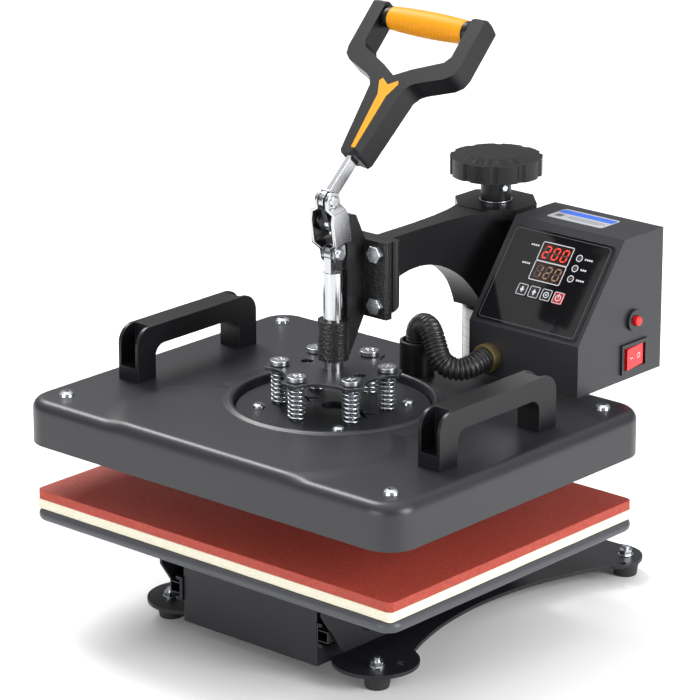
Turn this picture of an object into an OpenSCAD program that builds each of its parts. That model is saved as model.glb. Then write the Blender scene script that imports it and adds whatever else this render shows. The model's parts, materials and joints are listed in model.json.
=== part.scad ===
// Swing-away heat press with a slide-out bed, a toggle-levered platen that floats
// on six springs, and a control box on the arm. Lengths are in millimetres.
// The operator stands at -Y, +Z is up, and the floor is z = 0. Modules are drawn
// with the press axis (the plunger) at x = 0, y = 0; at_press() then moves them so
// that the frame's origin is under the centre of the object's box.

/* [Platen] */
// Width of the platen cover, left to right
platen_w = 397; // [350:1:470]
// Depth of the platen cover, front to back
platen_d = 315; // [280:1:330]
// Height of the platen cover
platen_h = 37; // [33:1:44]
// Plan radius of the cover's corners
platen_corner = 26; // [16:1:34]
// Radius of the cover's upper edge
platen_edge = 9; // [4:1:11]
// Sheet thickness of the cover
cover_wall = 2; // [1.5:0.5:3]
// Thickness of the cast heat plate
heat_plate_t = 12; // [8:1:14]
// Gap between the heat plate and the cover's skirt
heat_plate_gap = 5; // [3:1:10]
// Radius of the round pan pressed into the cover
pan_r = 80; // [70:1:90]
// Depth of the pan
pan_depth = 7; // [6:0.5:8]
// Thickness of the spring disc in the pan
disc_t = 4; // [3:0.5:5]
// Length of each carry handle, front to back
carry_len = 142; // [120:1:180]
// Height of each carry handle
carry_h = 45; // [38:1:55]
// Width of each carry handle
carry_w = 22; // [16:1:28]
// Distance from the press axis to the middle of each carry handle
carry_x = 160; // [140:1:168]

/* [Springs and levelling bolts] */
// Radius of the circle on which the six levelling bolts stand
bolt_circle_r = 44; // [38:1:52]
// Shank radius of a levelling bolt
level_bolt_r = 4; // [3:0.5:4.5]
// Height of the springs between the disc and the press plate
spring_len = 28.6; // [24:0.2:34]
// Thickness of the lobed press plate
press_plate_t = 3; // [2.5:0.5:5]

/* [Toggle] */
// Radius of the plunger shaft
shaft_r = 8; // [6.5:0.5:9]
// Crank from the fixed pivot to the upper rivet
crank_r = 20.6; // [18:0.2:23]
// Length of the link plates between their rivets
link_len = 45.9; // [42:0.1:52]
// Forward lean of the crank with the press open
crank_lean = 20; // [12:1:26]
// Thickness of the lever bar
lever_t = 4.4; // [3.5:0.1:5]
// Width of the lever bar above the upper rivet
lever_w = 11; // [9:0.5:12]

/* [Lever handle] */
// Backward lean of the handle with the press open
handle_lean = 44.4; // [35:0.1:55]
// Distance along the handle from the upper rivet to the handle shell
shell_start = 41; // [36:1:46]
// Distance along the handle from the upper rivet to the grip
grip_u = 172; // [160:1:195]
// Outer half width of the D-handle
handle_half_w = 58; // [52:1:66]
// Thickness of the handle shell
shell_t = 19.5; // [18:0.5:24]
// Radius of the grip in its middle
grip_r = 11; // [9.5:0.5:12]

/* [Bed] */
// Width of the pads and the tray
bed_w = 380; // [340:1:440]
// Depth of the pads and the tray
bed_d = 300; // [270:1:320]
// Thickness of the red silicone pad
silicone_t = 8; // [6:1:10]
// Thickness of the white foam pad
foam_t = 8; // [6:1:12]
// Height of the tray's rolled rim
tray_h = 10; // [8:1:14]
// Height from the base plate to the underside of the tray
bed_rise = 70; // [66:1:90]

/* [Base] */
// Half the distance between the left and right feet
foot_x = 112; // [105:1:150]
// Front feet, behind the press axis (negative is in front)
foot_front_y = -75; // [-90:1:-60]
// Rear feet, behind the press axis
foot_rear_y = 246; // [240:1:280]
// Height of the rubber feet
foot_h = 14; // [10:1:20]
// Thickness of the base plate
plate_t = 3; // [2.5:0.5:5]
// Half width of the slide box
slide_box_x = 72; // [60:1:76]
// Height of the slide box
slide_box_h = 45; // [40:1:50]
// Length of the drawer slides
slide_len = 250; // [230:5:260]

/* [Post and arm] */
// Distance from the press axis back to the post
post_y = 204; // [195:1:215]
// Outer radius of the post's column
column_r = 27; // [26:0.5:30]
// Radius of the inner post on which the arm swings
post_r = 20; // [17:0.5:20]
// Thickness of the arm's web
arm_web_t = 16; // [12:1:22]
// Radius of the pressure knob
knob_r = 38.5; // [32:0.5:44]

/* [Control box] */
// Width of the box, left to right
box_w = 112; // [108:1:136]
// Depth of the box, front to back
box_d = 110; // [106:1:120]
// Height of the box
box_h = 119; // [116:1:130]
// Height of the upright part of the box's front
box_front_h = 43; // [40:1:48]
// Depth of the sloping panel, seen from above
slope_d = 58.5; // [56:0.5:66]
// Sheet thickness of the box
box_wall = 2; // [1.5:0.5:2.5]

/* [Hose] */
// Outer radius of the corrugated hose
hose_r = 9.5; // [8:0.5:10]

/* [Fits] */
// Radial clearance of a running fit
running = 0.05; // [0.02:0.01:0.08]
// Gap between neighbouring pieces that move past each other
gap = 0.4; // [0.3:0.1:0.6]
// Gap left over the pad with the lever closed
closed_gap = 0.5; // [0.4:0.1:1]

/* [Hidden] */
$fn = 64;

// Heights, from the floor up
base_top = foot_h + plate_t;
tray_z = base_top + bed_rise;
foam_z = tray_z + tray_h;
silicone_z = foam_z + foam_t;
pad_top = silicone_z + silicone_t;
crank_y = -crank_r * sin(crank_lean);
crank_rise = crank_r * cos(crank_lean);
link_drop = sqrt(link_len * link_len - crank_y * crank_y);
link_lean = asin(-crank_y / link_len);
stroke = link_len + crank_r + crank_rise - link_drop;
heat_face = pad_top + closed_gap + stroke;
cover_z = heat_face + 0.6;
cover_top = cover_z + platen_h;
disc_z = cover_top - pan_depth;
disc_top = disc_z + disc_t;
press_plate_z = disc_top + spring_len;
press_plate_top = press_plate_z + press_plate_t;
sleeve_z = press_plate_top + 8;
sleeve_len = 33;
sleeve_top = sleeve_z + sleeve_len;
eye_r = 7.5;
tongue_len = 15;
rivet_z = sleeve_top + stroke + tongue_len - 1;
pivot_z = rivet_z + link_drop - crank_rise;
top_rivet_z = pivot_z + crank_rise;

// Plan places, from the press axis
front_edge = -max(platen_d, bed_d + 10) / 2;
front_lobe_r = 35;
rear_lobe_r = 27;
rear_edge = foot_rear_y - 8 + rear_lobe_r;
press_y = -(front_edge + rear_edge) / 2;
flange_y = 30;
flange_t = 8;
flange_half_w = 32;
flange_z = pivot_z - 83;
flange_h = 64;
arm_top = pivot_z - 25;
collar_r = column_r + 0.5;
bush_r = post_r + 3;
column_top = flange_z - 30;
ring_z = column_top + gap;
collar_z = ring_z + 3 + gap;
head_t = 9;
shaft_top = arm_top - head_t - 9;
screw_r = 8;
knob_z = arm_top + 23;
knob_t = 15;
box_x = 42;
box_y = 120;
box_z = cover_top + 6.4;
panel_rise = box_h - box_front_h;
panel_tilt = atan2(panel_rise, slope_d);
panel_len = sqrt(panel_rise * panel_rise + slope_d * slope_d);

// Small parts
foot_screw_r = 3;
bench_hole_r = 3.5;
bench_dx = 10;
bench_dy = 18;
slide_h = 20;
slide_y = -103;
slide_z = base_top + 15;
bracket_x = slide_box_x + 13.5;
pivot_r = 4;
rivet_r = 3;
rocker_pin_r = 1.25;
rocker_h = 17.6;
bezel_body_w = 30.8;
bezel_body_h = 21.6;
board_top = -6;
shell_front = 4;
bar_lean = handle_lean + 4;
lug_half_t = 7.5;
hose_x = 5;
hose_y = 98;
gland_x = box_x + 22;
gland_z = box_z + 16;
key_v = 35.3;
key_first_x = 80;
key_pitch = 12.3;
key_size = 10;
display_x = 81.5;
display_w = 30;
display_h = 15.5;
display_v = [46, 63];
indicator_x = 120.3;
indicator_v = [53.5, 62.8, 72];
rocker_y = box_y + 73;
rocker_z = box_z + 18;
breaker_y = box_y + 72;
breaker_z = box_z + 49;

// Route of the hose, from the boss on the cover up, over and down to the gland
hose_route = [[5, 98, 213], [5, 98, 219], [5, 98, 225], [7, 97, 231], [11, 96, 235.5], [17, 94, 237.5],
    [24, 91, 236.5], [30, 88, 232], [35, 86, 225], [40, 84, 218], [46, 84, 212.5], [53, 86, 210],
    [59, 91, 209.5], [63, 98, 211], [64, 106, 213], [64, 112, 214]];

module at_press() {
    translate([0, press_y, 0]) children();
}

// Mirror-image pair about the YZ plane
module both_sides() {
    for (side = [0, 1]) mirror([side, 0, 0]) children();
}

module rounded_rect(w, d, r) {
    square([w - 2 * r, d], center = true);
    square([w, d - 2 * r], center = true);
    for (sx = [-1, 1], sy = [-1, 1]) translate([sx * (w / 2 - r), sy * (d / 2 - r)]) circle(r);
}

// Section through a slab whose two upper edges are quarter rounds
module soft_top_section(w, h, edge) {
    translate([-w / 2, 0]) square([w, h - edge]);
    translate([edge - w / 2, 0]) square([w - 2 * edge, h]);
    for (s = [-1, 1]) translate([s * (w / 2 - edge), h - edge]) circle(edge);
}

// Slab with a quarter-round upper edge
module soft_top_slab(w, d, h, corner, edge) {
    translate([0, d / 2 - corner, 0]) rotate([90, 0, 0]) {
        linear_extrude(d - 2 * corner) soft_top_section(w, h, edge);
    }
    translate([corner - w / 2, 0, 0]) rotate([90, 0, 90]) {
        linear_extrude(w - 2 * corner) soft_top_section(d, h, edge);
    }
    for (sx = [-1, 1], sy = [-1, 1]) translate([sx * (w / 2 - corner), sy * (d / 2 - corner), 0]) {
        rotate_extrude() intersection() {
            soft_top_section(2 * corner, h, edge);
            square([corner, h]);
        }
    }
}

// Solid between x = -t/2 and t/2 whose side view is drawn as [y, z]
module side_plate(t) {
    rotate([90, 0, 90]) translate([0, 0, -t / 2]) linear_extrude(t) children();
}

module x_cylinder(len, r) {
    rotate([0, 90, 0]) cylinder(len, r = r, center = true);
}

module hex_bolt(r, len) {
    translate([0, 0, -len]) cylinder(len, r = r);
    cylinder(r * 1.3, r = r * 1.85, $fn = 6);
}

module pan_screw(r, len) {
    translate([0, 0, -len]) cylinder(len + 0.5, r = r);
    difference() {
        rotate_extrude() polygon([[0, 0], [2.1 * r, 0], [1.9 * r, 0.75 * r], [1.2 * r, 1.3 * r], [0, 1.3 * r]]);
        for (a = [0, 90]) rotate(a) translate([0, 0, 1.3 * r]) cube([2 * r, 0.5 * r, 1.2 * r], center = true);
    }
}

// Tube of radius r swept along points; frames turn with the path's own direction
function unit(v) = v / norm(v);
function along(p, i) = unit(p[min(i + 1, len(p) - 1)] - p[max(i - 1, 0)]);
function carried(p, i, side) = unit(side - (side * along(p, i)) * along(p, i));
function sides(p, i, side) = i == 0 ? [carried(p, 0, side)]
    : let(before = sides(p, i - 1, side)) concat(before, [carried(p, i, before[i - 1])]);
module swept_tube(p, r, n, side) {
    across = sides(p, len(p) - 1, side);
    rings = [for (i = [0:len(p) - 1]) for (k = [0:n - 1])
        p[i] + r * (cos(360 * k / n) * across[i] + sin(360 * k / n) * cross(along(p, i), across[i]))];
    low = [for (i = [0:len(p) - 2]) for (k = [0:n - 1]) [i * n + k, (i + 1) * n + k, i * n + (k + 1) % n]];
    high = [for (i = [0:len(p) - 2]) for (k = [0:n - 1])
        [(i + 1) * n + k, (i + 1) * n + (k + 1) % n, i * n + (k + 1) % n]];
    ends = [[for (k = [0:n - 1]) k], [for (k = [0:n - 1]) len(p) * n - 1 - k]];
    polyhedron(rings, concat(low, high, ends));
}

// ---------- base ----------

// Plate outline: waisted between four round corners that hold the feet and the bench holes
module base_outline() {
    front = foot_front_y + 11;
    rear = foot_rear_y - 8;
    edge_x = foot_x + 17;
    half_len = (rear - front) / 2;
    waist = edge_x - 88;
    waist_r = (half_len * half_len + waist * waist) / (2 * waist);
    difference() {
        translate([-edge_x, front]) square([2 * edge_x, rear - front]);
        for (s = [-1, 1]) translate([s * (edge_x - waist + waist_r), (front + rear) / 2]) {
            circle(waist_r, $fn = 160);
        }
    }
    for (s = [-1, 1]) {
        translate([s * (foot_x - 11), front]) circle(front_lobe_r);
        translate([s * (foot_x - 10), rear]) circle(rear_lobe_r);
    }
    translate([2 - foot_x, rear]) square([2 * foot_x - 4, rear_lobe_r - 2]);
    translate([-slide_box_x, slide_y + 2]) square([2 * slide_box_x, 40]);
}

module base_plate() {
    sheet = 2;
    box_len = slide_len - 2;
    color("#26272a") difference() {
        union() {
            translate([0, 0, foot_h]) linear_extrude(plate_t) base_outline();
            translate([-slide_box_x, slide_y + 2, foot_h]) {
                cube([2 * slide_box_x, sheet, slide_box_h + plate_t]);
                translate([0, box_len - sheet, 0]) cube([2 * slide_box_x, sheet, slide_box_h + plate_t]);
                for (x = [0, 2 * slide_box_x - sheet]) {
                    translate([x, 0, 0]) cube([sheet, box_len, slide_box_h + plate_t]);
                }
                for (x = [0, 2 * slide_box_x - 14]) {
                    translate([x, 0, slide_box_h + plate_t - sheet]) cube([14, box_len, sheet]);
                }
            }
        }
        for (sx = [-1, 1], y = [foot_front_y, foot_rear_y]) {
            translate([sx * foot_x, y, foot_h - 1]) cylinder(plate_t + 2, r = foot_screw_r + running);
        }
        for (sx = [-1, 1], y = [foot_front_y + bench_dy, foot_rear_y - bench_dy]) {
            translate([sx * (foot_x + bench_dx), y, foot_h - 1]) cylinder(plate_t + 2, r = bench_hole_r);
        }
        for (a = [45:90:315]) {
            translate([33 * cos(a), post_y + 33 * sin(a), foot_h - 1]) cylinder(plate_t + 2, r = 3 + running);
        }
    }
}

module each_foot() {
    for (sx = [-1, 1], y = [foot_front_y, foot_rear_y]) translate([sx * foot_x, y, 0]) children();
}

module rubber_feet() {
    color("#141414") each_foot() difference() {
        cylinder(foot_h, r1 = 9.5, r2 = 12);
        translate([0, 0, -1]) cylinder(foot_h + 2, r = foot_screw_r + running);
        translate([0, 0, -1]) cylinder(5, r = 6);
    }
}

module foot_screws() {
    color("silver") each_foot() {
        translate([0, 0, 2]) cylinder(base_top + 6, r = foot_screw_r);
        translate([0, 0, 1.5]) cylinder(2.5, r = 5.4);
        translate([0, 0, base_top]) cylinder(1, r = 6.5);
        translate([0, 0, base_top + 1]) cylinder(4, r = 5.8, $fn = 6);
    }
}

module post_column() {
    color("#1d1e20") difference() {
        union() {
            translate([0, post_y, base_top]) cylinder(column_top - base_top, r = column_r);
            translate([0, post_y, base_top]) cylinder(6, r = 40);
        }
        translate([0, post_y, base_top - 1]) cylinder(column_top, r = post_r + running);
        for (a = [45:90:315]) {
            translate([33 * cos(a), post_y + 33 * sin(a), base_top - 1]) cylinder(8, r = 3 + running);
        }
    }
}

module post_shaft() {
    color("#9a9ca0") translate([0, post_y, base_top]) difference() {
        cylinder(shaft_top - base_top, r = post_r);
        translate([0, 0, column_top - base_top]) cylinder(shaft_top, r = screw_r + running);
    }
}

module post_bolts() {
    color("silver") for (a = [45:90:315]) {
        translate([33 * cos(a), post_y + 33 * sin(a), base_top + 6]) hex_bolt(3, 6 + plate_t);
    }
}

// ---------- slides and bed ----------

// C-section rail seen from the front, open towards +X, with its back at x = 0
module c_section(w, h, t) {
    difference() {
        translate([0, -h / 2]) square([w, h]);
        translate([t, t - h / 2]) square([w, h - 2 * t]);
    }
    translate([w - t, h / 2 - 2 * t]) square([t, 2 * t]);
    translate([w - t, -h / 2]) square([t, 2 * t]);
}

module along_slide(len) {
    translate([0, slide_y + len, slide_z + slide_h / 2]) rotate([90, 0, 0]) linear_extrude(len) children();
}

module slide_outer_rails() {
    color("silver") both_sides() translate([slide_box_x, 0, 0]) {
        along_slide(slide_len) c_section(7, slide_h, 1.2);
    }
}

module slide_middle_rails() {
    color("gainsboro") both_sides() translate([slide_box_x + 1.2 + gap, 0, 0]) along_slide(slide_len - 4) {
        difference() {
            translate([0, -slide_h / 2 + 1.2 + gap]) square([10.6, slide_h - 2.4 - 2 * gap]);
            translate([1.2, -slide_h / 2 + 2.4 + gap]) square([10, slide_h - 4.8 - 2 * gap]);
            for (s = [-1, 1]) translate([4, s * (slide_h / 2 - 1.2) - 1.5]) square([8, 3]);
        }
    }
}

module slide_inner_rails() {
    color("silver") both_sides() translate([bracket_x, 0, 0]) along_slide(slide_len) {
        translate([-1.2, -5]) square([1.2, 10]);
        for (s = [-1, 1]) translate([-10.2, s * 4.4 - 0.6]) square([9.4, 1.2]);
    }
}

module bed_brackets() {
    t = 2.5;
    low = slide_z - 6;
    color("#2b2c2f") both_sides() difference() {
        union() {
            translate([bracket_x + t / 2, 0, 0]) side_plate(t) polygon([[-112, tray_z], [-112, tray_z - 24],
                [-87, low], [100, low], [125, tray_z - 24], [125, tray_z]]);
            translate([bracket_x, -112, tray_z - t]) cube([18, 237, t]);
        }
        for (y = [-60, 80]) translate([bracket_x, y, slide_z + slide_h / 2]) x_cylinder(20, 2.5 + running);
        for (y = [-90, 100]) translate([bracket_x + 11, y, tray_z - t - 1]) cylinder(t + 2, r = 2.5 + running);
    }
}

module bed_tray() {
    rim = tray_h / 2;
    corner = 14;
    w = bed_w + 4;
    d = bed_d + 6;
    color("#4a4b50") difference() {
        union() {
            translate([0, 0, tray_z + tray_h - 3]) linear_extrude(3) {
                rounded_rect(w - 2 * rim, d - 2 * rim, corner - rim);
            }
            for (s = [-1, 1]) {
                translate([0, s * (d / 2 - rim), tray_z + rim]) x_cylinder(w - 2 * corner, rim);
                translate([s * (w / 2 - rim), 0, tray_z + rim]) rotate([90, 0, 0]) {
                    cylinder(d - 2 * corner, r = rim, center = true);
                }
            }
            for (a = [0:3]) {
                sx = a == 0 || a == 3 ? 1 : -1;
                sy = a < 2 ? 1 : -1;
                translate([sx * (w / 2 - corner), sy * (d / 2 - corner), tray_z + rim]) rotate(90 * a) {
                    rotate_extrude(angle = 90) translate([corner - rim, 0]) circle(rim);
                }
            }
            for (s = [-1, 1]) translate([s * (bracket_x + 11) - 10, -118, tray_z]) cube([20, 249, tray_h - 2]);
        }
        for (s = [-1, 1], y = [-90, 100]) {
            translate([s * (bracket_x + 11), y, tray_z - 1]) cylinder(6, r = 2.5 + running);
        }
    }
}

module foam_pad() {
    color("#efe9dc") translate([0, 0, foam_z]) linear_extrude(foam_t) rounded_rect(bed_w, bed_d, 3);
}

module silicone_pad() {
    color("#b8432f") translate([0, 0, silicone_z]) linear_extrude(silicone_t) rounded_rect(bed_w, bed_d, 6);
}

module bed_screws() {
    color("silver") both_sides() {
        for (y = [-60, 80]) {
            translate([bracket_x + 2.5, y, slide_z + slide_h / 2]) rotate([0, 90, 0]) pan_screw(2.5, 2.5);
        }
        for (y = [-90, 100]) {
            translate([bracket_x + 11, y, tray_z - 2.5]) rotate([180, 0, 0]) pan_screw(2.5, 6);
        }
    }
}

// ---------- post head and arm ----------

module thrust_ring() {
    color("goldenrod") translate([0, post_y, ring_z]) difference() {
        cylinder(3, r = column_r - 1);
        translate([0, 0, -1]) cylinder(5, r = post_r + running);
    }
}

module arm_plan() {
    translate([-arm_web_t / 2, flange_y + flange_t]) square([arm_web_t, post_y - flange_y - flange_t]);
    cheek = collar_r - 4;
    half = arm_web_t / 2;
    right = [[half, post_y - 96], [half + 1.5, post_y - 70], [half + 4.5, post_y - 48], [half + 9, post_y - 30],
        [cheek - 1, post_y - 18], [cheek, post_y - 8]];
    polygon(concat(right, [for (i = [len(right) - 1:-1:0]) [-right[i][0], right[i][1]]]));
}

module swing_arm() {
    arch_y = flange_y + 63;
    arch_r = 82;
    color("#232427") difference() {
        union() {
            translate([0, 0, collar_z]) linear_extrude(arm_top - 0.5 - collar_z) arm_plan();
            translate([0, post_y, collar_z]) cylinder(arm_top - head_t / 2 - collar_z, r = collar_r);
            translate([0, post_y, arm_top - head_t - 5]) cylinder(5.5, r1 = collar_r - 0.5, r2 = 32);
            translate([0, post_y, arm_top - head_t]) rotate(22.5) cylinder(head_t, r = 35.5, $fn = 8);
            translate([0, flange_y + flange_t, flange_z]) arm_flange();
            translate([column_r - 6, post_y - 12, arm_top - 67]) cube([box_x - column_r + 6, 24, 42]);
        }
        translate([0, arch_y, arm_top - 32 - arch_r]) x_cylinder(2 * arch_r, arch_r, $fn = 200);
        translate([0, post_y, collar_z - 1]) cylinder(arm_top - head_t - collar_z + 1, r = bush_r + running);
        translate([0, post_y, collar_z]) cylinder(arm_top, r = screw_r + running);
        bracket_holes();
    }
}

// Upright flange at the front of the arm, rounded at its upright edges
module arm_flange() {
    translate([0, 4, 0]) linear_extrude(flange_h) rounded_rect(2 * flange_half_w, 8, 3.9);
    side = flange_half_w - 2;
    translate([0, 4, 0]) linear_extrude(flange_h - 8) square([2 * side, 8], center = true);
}

module bracket_bolt_places() {
    for (sx = [-1, 1], z = [flange_z + 11, flange_z + 54]) {
        translate([sx * 20, flange_y, z]) rotate([90, 0, 0]) children();
    }
}

module bracket_holes() {
    bracket_bolt_places() translate([0, 0, -2 * flange_t - 1]) cylinder(3 * flange_t, r = 4 + running);
}

module collar_bush() {
    color("#b9924a") translate([0, post_y, collar_z]) difference() {
        cylinder(shaft_top - collar_z - 2, r = bush_r);
        translate([0, 0, -1]) cylinder(arm_top, r = post_r + running);
    }
}

module guide_bracket() {
    lug_r = 8.5;
    color("#17181a") difference() {
        union() {
            translate([0, flange_y + flange_t / 2, flange_z]) {
                linear_extrude(flange_h) rounded_rect(60, flange_t, 2);
            }
            side_plate(14) polygon([[flange_y + 1, flange_z + 3], [flange_y + 1, flange_z + flange_h],
                [shaft_r + 12, pivot_z + 3], [4, pivot_z + 7], [4, pivot_z - 7], [shaft_r + 1.6, pivot_z - 15],
                [shaft_r + 1.6, sleeve_z + 3], [shaft_r + 4, sleeve_z + 1]]);
            translate([0, 0, pivot_z]) x_cylinder(2 * lug_half_t, lug_r);
            translate([0, 0, sleeve_z]) cylinder(sleeve_len, r = shaft_r + 4.5);
        }
        translate([0, 0, sleeve_z - 1]) cylinder(sleeve_len + 2, r = shaft_r + running);
        translate([0, -1, pivot_z]) cube([lever_t + 2 * gap, 22, 30], center = true);
        translate([0, 0, pivot_z]) x_cylinder(40, pivot_r + running);
        bracket_holes();
    }
}

module bracket_bolts() {
    color("silver") bracket_bolt_places() hex_bolt(4, 2 * flange_t);
}

module lever_pivot_pin() {
    color("silver") translate([0, 0, pivot_z]) {
        x_cylinder(2 * lug_half_t + 1, pivot_r);
        for (s = [-1, 1]) translate([s * (lug_half_t + 0.6), 0, 0]) x_cylinder(1, 5.2);
    }
}

// ---------- pressure knob ----------

module pressure_screw() {
    screw_len = knob_z + knob_t - column_top - 26;
    color("silver") translate([0, post_y, column_top + 20]) cylinder(screw_len, r = screw_r);
}

module pressure_knob() {
    lobes = 10;
    color("#151618") translate([0, post_y, 0]) difference() {
        union() {
            translate([0, 0, arm_top + 2]) cylinder(knob_z - arm_top - 2, r = 12.7);
            difference() {
                translate([0, 0, knob_z]) cylinder(knob_t, r = knob_r);
                for (k = [0:lobes - 1]) rotate(360 * (k + 0.5) / lobes) {
                    translate([knob_r + 3, 0, knob_z - 1]) cylinder(knob_t + 2, r = 5);
                }
            }
            translate([0, 0, knob_z + knob_t]) cylinder(3, r1 = knob_r - 5, r2 = knob_r - 14);
        }
        translate([0, 0, arm_top]) cylinder(knob_z + knob_t - arm_top - 6, r = screw_r + running);
        rotate(-20) translate([8, 0, arm_top + 13]) rotate([0, 90, 0]) cylinder(10, r = 2.5 + running);
    }
}

// Washer under the hub and the set screw in it
module knob_hardware() {
    color("silver") translate([0, post_y, 0]) {
        difference() {
            translate([0, 0, arm_top + gap]) cylinder(1.6 - gap, r = 14);
            translate([0, 0, arm_top]) cylinder(4, r = screw_r + running);
        }
        rotate(-20) translate([8.2, 0, arm_top + 13]) rotate([0, 90, 0]) cylinder(7, r = 2.5);
    }
}

// ---------- toggle and handle ----------

module lever_bar() {
    bar_end = shell_start + 28;
    color("gainsboro") difference() {
        side_plate(lever_t) {
            translate([0, pivot_z]) circle(eye_r + 0.5);
            translate([crank_y, top_rivet_z]) circle(eye_r + 0.5);
            translate([0, pivot_z]) rotate(90 + crank_lean) translate([0, -7]) square([crank_r, 14]);
            translate([crank_y, top_rivet_z]) rotate(90 - bar_lean) {
                translate([0, -lever_w / 2]) square([bar_end, lever_w]);
            }
        }
        translate([0, 0, pivot_z]) x_cylinder(20, pivot_r + running);
        translate([0, crank_y, top_rivet_z]) x_cylinder(20, rivet_r + running);
    }
}

// Handle frame: X across, Y up the handle from the upper rivet, Z out of the shell's front face
module in_handle() {
    translate([0, crank_y, top_rivet_z]) rotate([90 - handle_lean, 0, 0]) {
        translate([0, 0, shell_front]) children();
    }
}

module handle_half() {
    w = handle_half_w;
    fork = grip_u - 60;
    polygon([[-1, shell_start + 1], [8, shell_start], [10.5, shell_start + 3], [17, fork - 7], [21, fork - 1],
        [26, fork + 2], [w - 8, fork + 11], [w - 2, fork + 16], [w, fork + 23], [w, grip_u + 8],
        [w - 3, grip_u + 12], [w - 8, grip_u + 13], [w - 12, grip_u + 11], [w - 13, grip_u + 7],
        [w - 13, fork + 31], [w - 17, fork + 25], [14, fork + 13], [7, fork + 9], [0, fork + 5],
        [-1, fork + 5]]);
}

module handle_shell() {
    color("#1c1d20") difference() {
        intersection() {
            in_handle() translate([0, 0, -shell_t]) linear_extrude(shell_t) {
                handle_half();
                mirror([1, 0]) handle_half();
            }
            in_handle() union() {
                translate([-handle_half_w - 1, 0, -shell_t - 1]) {
                    cube([2 * handle_half_w + 2, grip_u, shell_t + 2]);
                }
                translate([0, grip_u, -shell_t / 2]) x_cylinder(2 * handle_half_w + 2, shell_t / 2 + 2.5);
            }
        }
        side_plate(lever_t + 2 * running) translate([crank_y, top_rivet_z]) rotate(90 - bar_lean)
            translate([0, -lever_w / 2 - running]) square([shell_start + 28 + running, lever_w + 2 * running]);
        in_handle() translate([0, 0, -1.2]) linear_extrude(2) inlay_outline();
        in_handle() translate([0, grip_u, -shell_t / 2]) x_cylinder(2 * handle_half_w - 20, 7);
    }
}

module inlay_outline() {
    fork = grip_u - 60;
    polygon([[-2, shell_start + 7], [2, shell_start + 7], [4.5, fork - 14], [10, fork - 2], [8, fork + 1],
        [0, fork - 4], [-8, fork + 1], [-10, fork - 2], [-4.5, fork - 14]]);
}

module handle_inlay() {
    color("#f2a900") in_handle() translate([0, 0, -1.2]) linear_extrude(1.5) inlay_outline();
}

module grip_sleeve() {
    span = handle_half_w - 13;
    color("#f2a900") in_handle() translate([0, grip_u, -shell_t / 2]) rotate([0, 90, 0]) {
        rotate_extrude() polygon([[0, -span], [8, -span], [8, 6 - span], [grip_r - 1.5, 6 - span],
            [grip_r - 0.3, -14], [grip_r, 0], [grip_r - 0.3, 14], [grip_r - 1.5, span - 6], [8, span - 6],
            [8, span], [0, span]]);
        cylinder(2 * span + 6, r = 6.9, center = true);
    }
}

// Side view of a link plate, drawn down from the upper rivet
module link_outline() {
    for (y = [0, -link_len]) translate([0, y]) circle(eye_r);
    translate([-eye_r, -link_len]) square([2 * eye_r, link_len]);
    polygon([[-eye_r, -9], [-9.5, -15], [-9.5, -35], [-eye_r, 5 - link_len], [eye_r, 5 - link_len],
        [9.5, -35], [9.5, -15], [eye_r, -9]]);
}

// Front view of the right-hand plate, which bows out round the pivot lug
module link_bow() {
    near = 4;
    far = lug_half_t + 2.5;
    t = 3;
    polygon([[near, 9], [near, -5.5], [far, -9], [far, -34], [near, -38.4], [near, -link_len - 9],
        [near + t, -link_len - 9], [near + t, -39.6], [far + t, -35], [far + t, -8], [near + t, -4.4],
        [near + t, 9]]);
}

module in_link() {
    translate([0, crank_y, top_rivet_z]) rotate([link_lean, 0, 0]) children();
}

module link_plates() {
    color("gainsboro") in_link() both_sides() difference() {
        intersection() {
            side_plate(60) link_outline();
            translate([0, 15, 0]) rotate([90, 0, 0]) linear_extrude(30) link_bow();
        }
        for (z = [0, -link_len]) translate([0, 0, z]) x_cylinder(60, rivet_r);
    }
}

// The upper rivet runs through; the lower one is a stub in each plate
module link_rivets() {
    color("silver") in_link() {
        x_cylinder(18, rivet_r);
        both_sides() {
            for (z = [0, -link_len]) translate([7, 0, z]) rotate([0, 90, 0]) cylinder(2.2, r1 = 5, r2 = 4);
            translate([4.1, 0, -link_len]) rotate([0, 90, 0]) cylinder(3, r = rivet_r);
        }
    }
}

module plunger_shaft() {
    tongue_t = 7;
    tongue_half_w = shaft_r - 1;
    color("gainsboro") {
        translate([0, 0, press_plate_z]) cylinder(rivet_z - tongue_len - press_plate_z, r = shaft_r);
        difference() {
            side_plate(tongue_t) {
                translate([0, rivet_z]) circle(eye_r);
                translate([-tongue_half_w, rivet_z - tongue_len - 1]) {
                    square([2 * tongue_half_w, tongue_len + 1]);
                }
            }
            translate([0, 0, rivet_z]) x_cylinder(20, rivet_r);
        }
    }
}

// ---------- press plate, springs and platen ----------

module each_level_bolt() {
    for (a = [30:60:330]) rotate(a) translate([bolt_circle_r, 0, 0]) children();
}

module press_plate() {
    ear = bolt_circle_r + 11;
    color("#1f2023") translate([0, 0, press_plate_z]) difference() {
        cylinder(press_plate_t, r = ear);
        translate([0, 0, -1]) cylinder(press_plate_t + 2, r = shaft_r);
        for (a = [0:60:300]) rotate(a) translate([ear + 12, 0, -1]) cylinder(press_plate_t + 2, r = 26);
        translate([0, 0, -1]) each_level_bolt() cylinder(press_plate_t + 2, r = level_bolt_r + gap);
        for (s = [-1, 1]) translate([s * 28, 0, -1]) cylinder(press_plate_t + 2, r = 5);
    }
}

module springs() {
    turns = 6;
    wire_r = 1.1;
    coil_r = level_bolt_r + 2.3;
    steps = 10;
    low = disc_top + wire_r + gap;
    rise = spring_len - 2 * wire_r - gap;
    color("silver") each_level_bolt() swept_tube([for (i = [0:turns * steps])
        [coil_r * cos(360 * i / steps), coil_r * sin(360 * i / steps), low + rise * i / (turns * steps)]],
        wire_r, 5, [0, 0, 1]);
}

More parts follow.
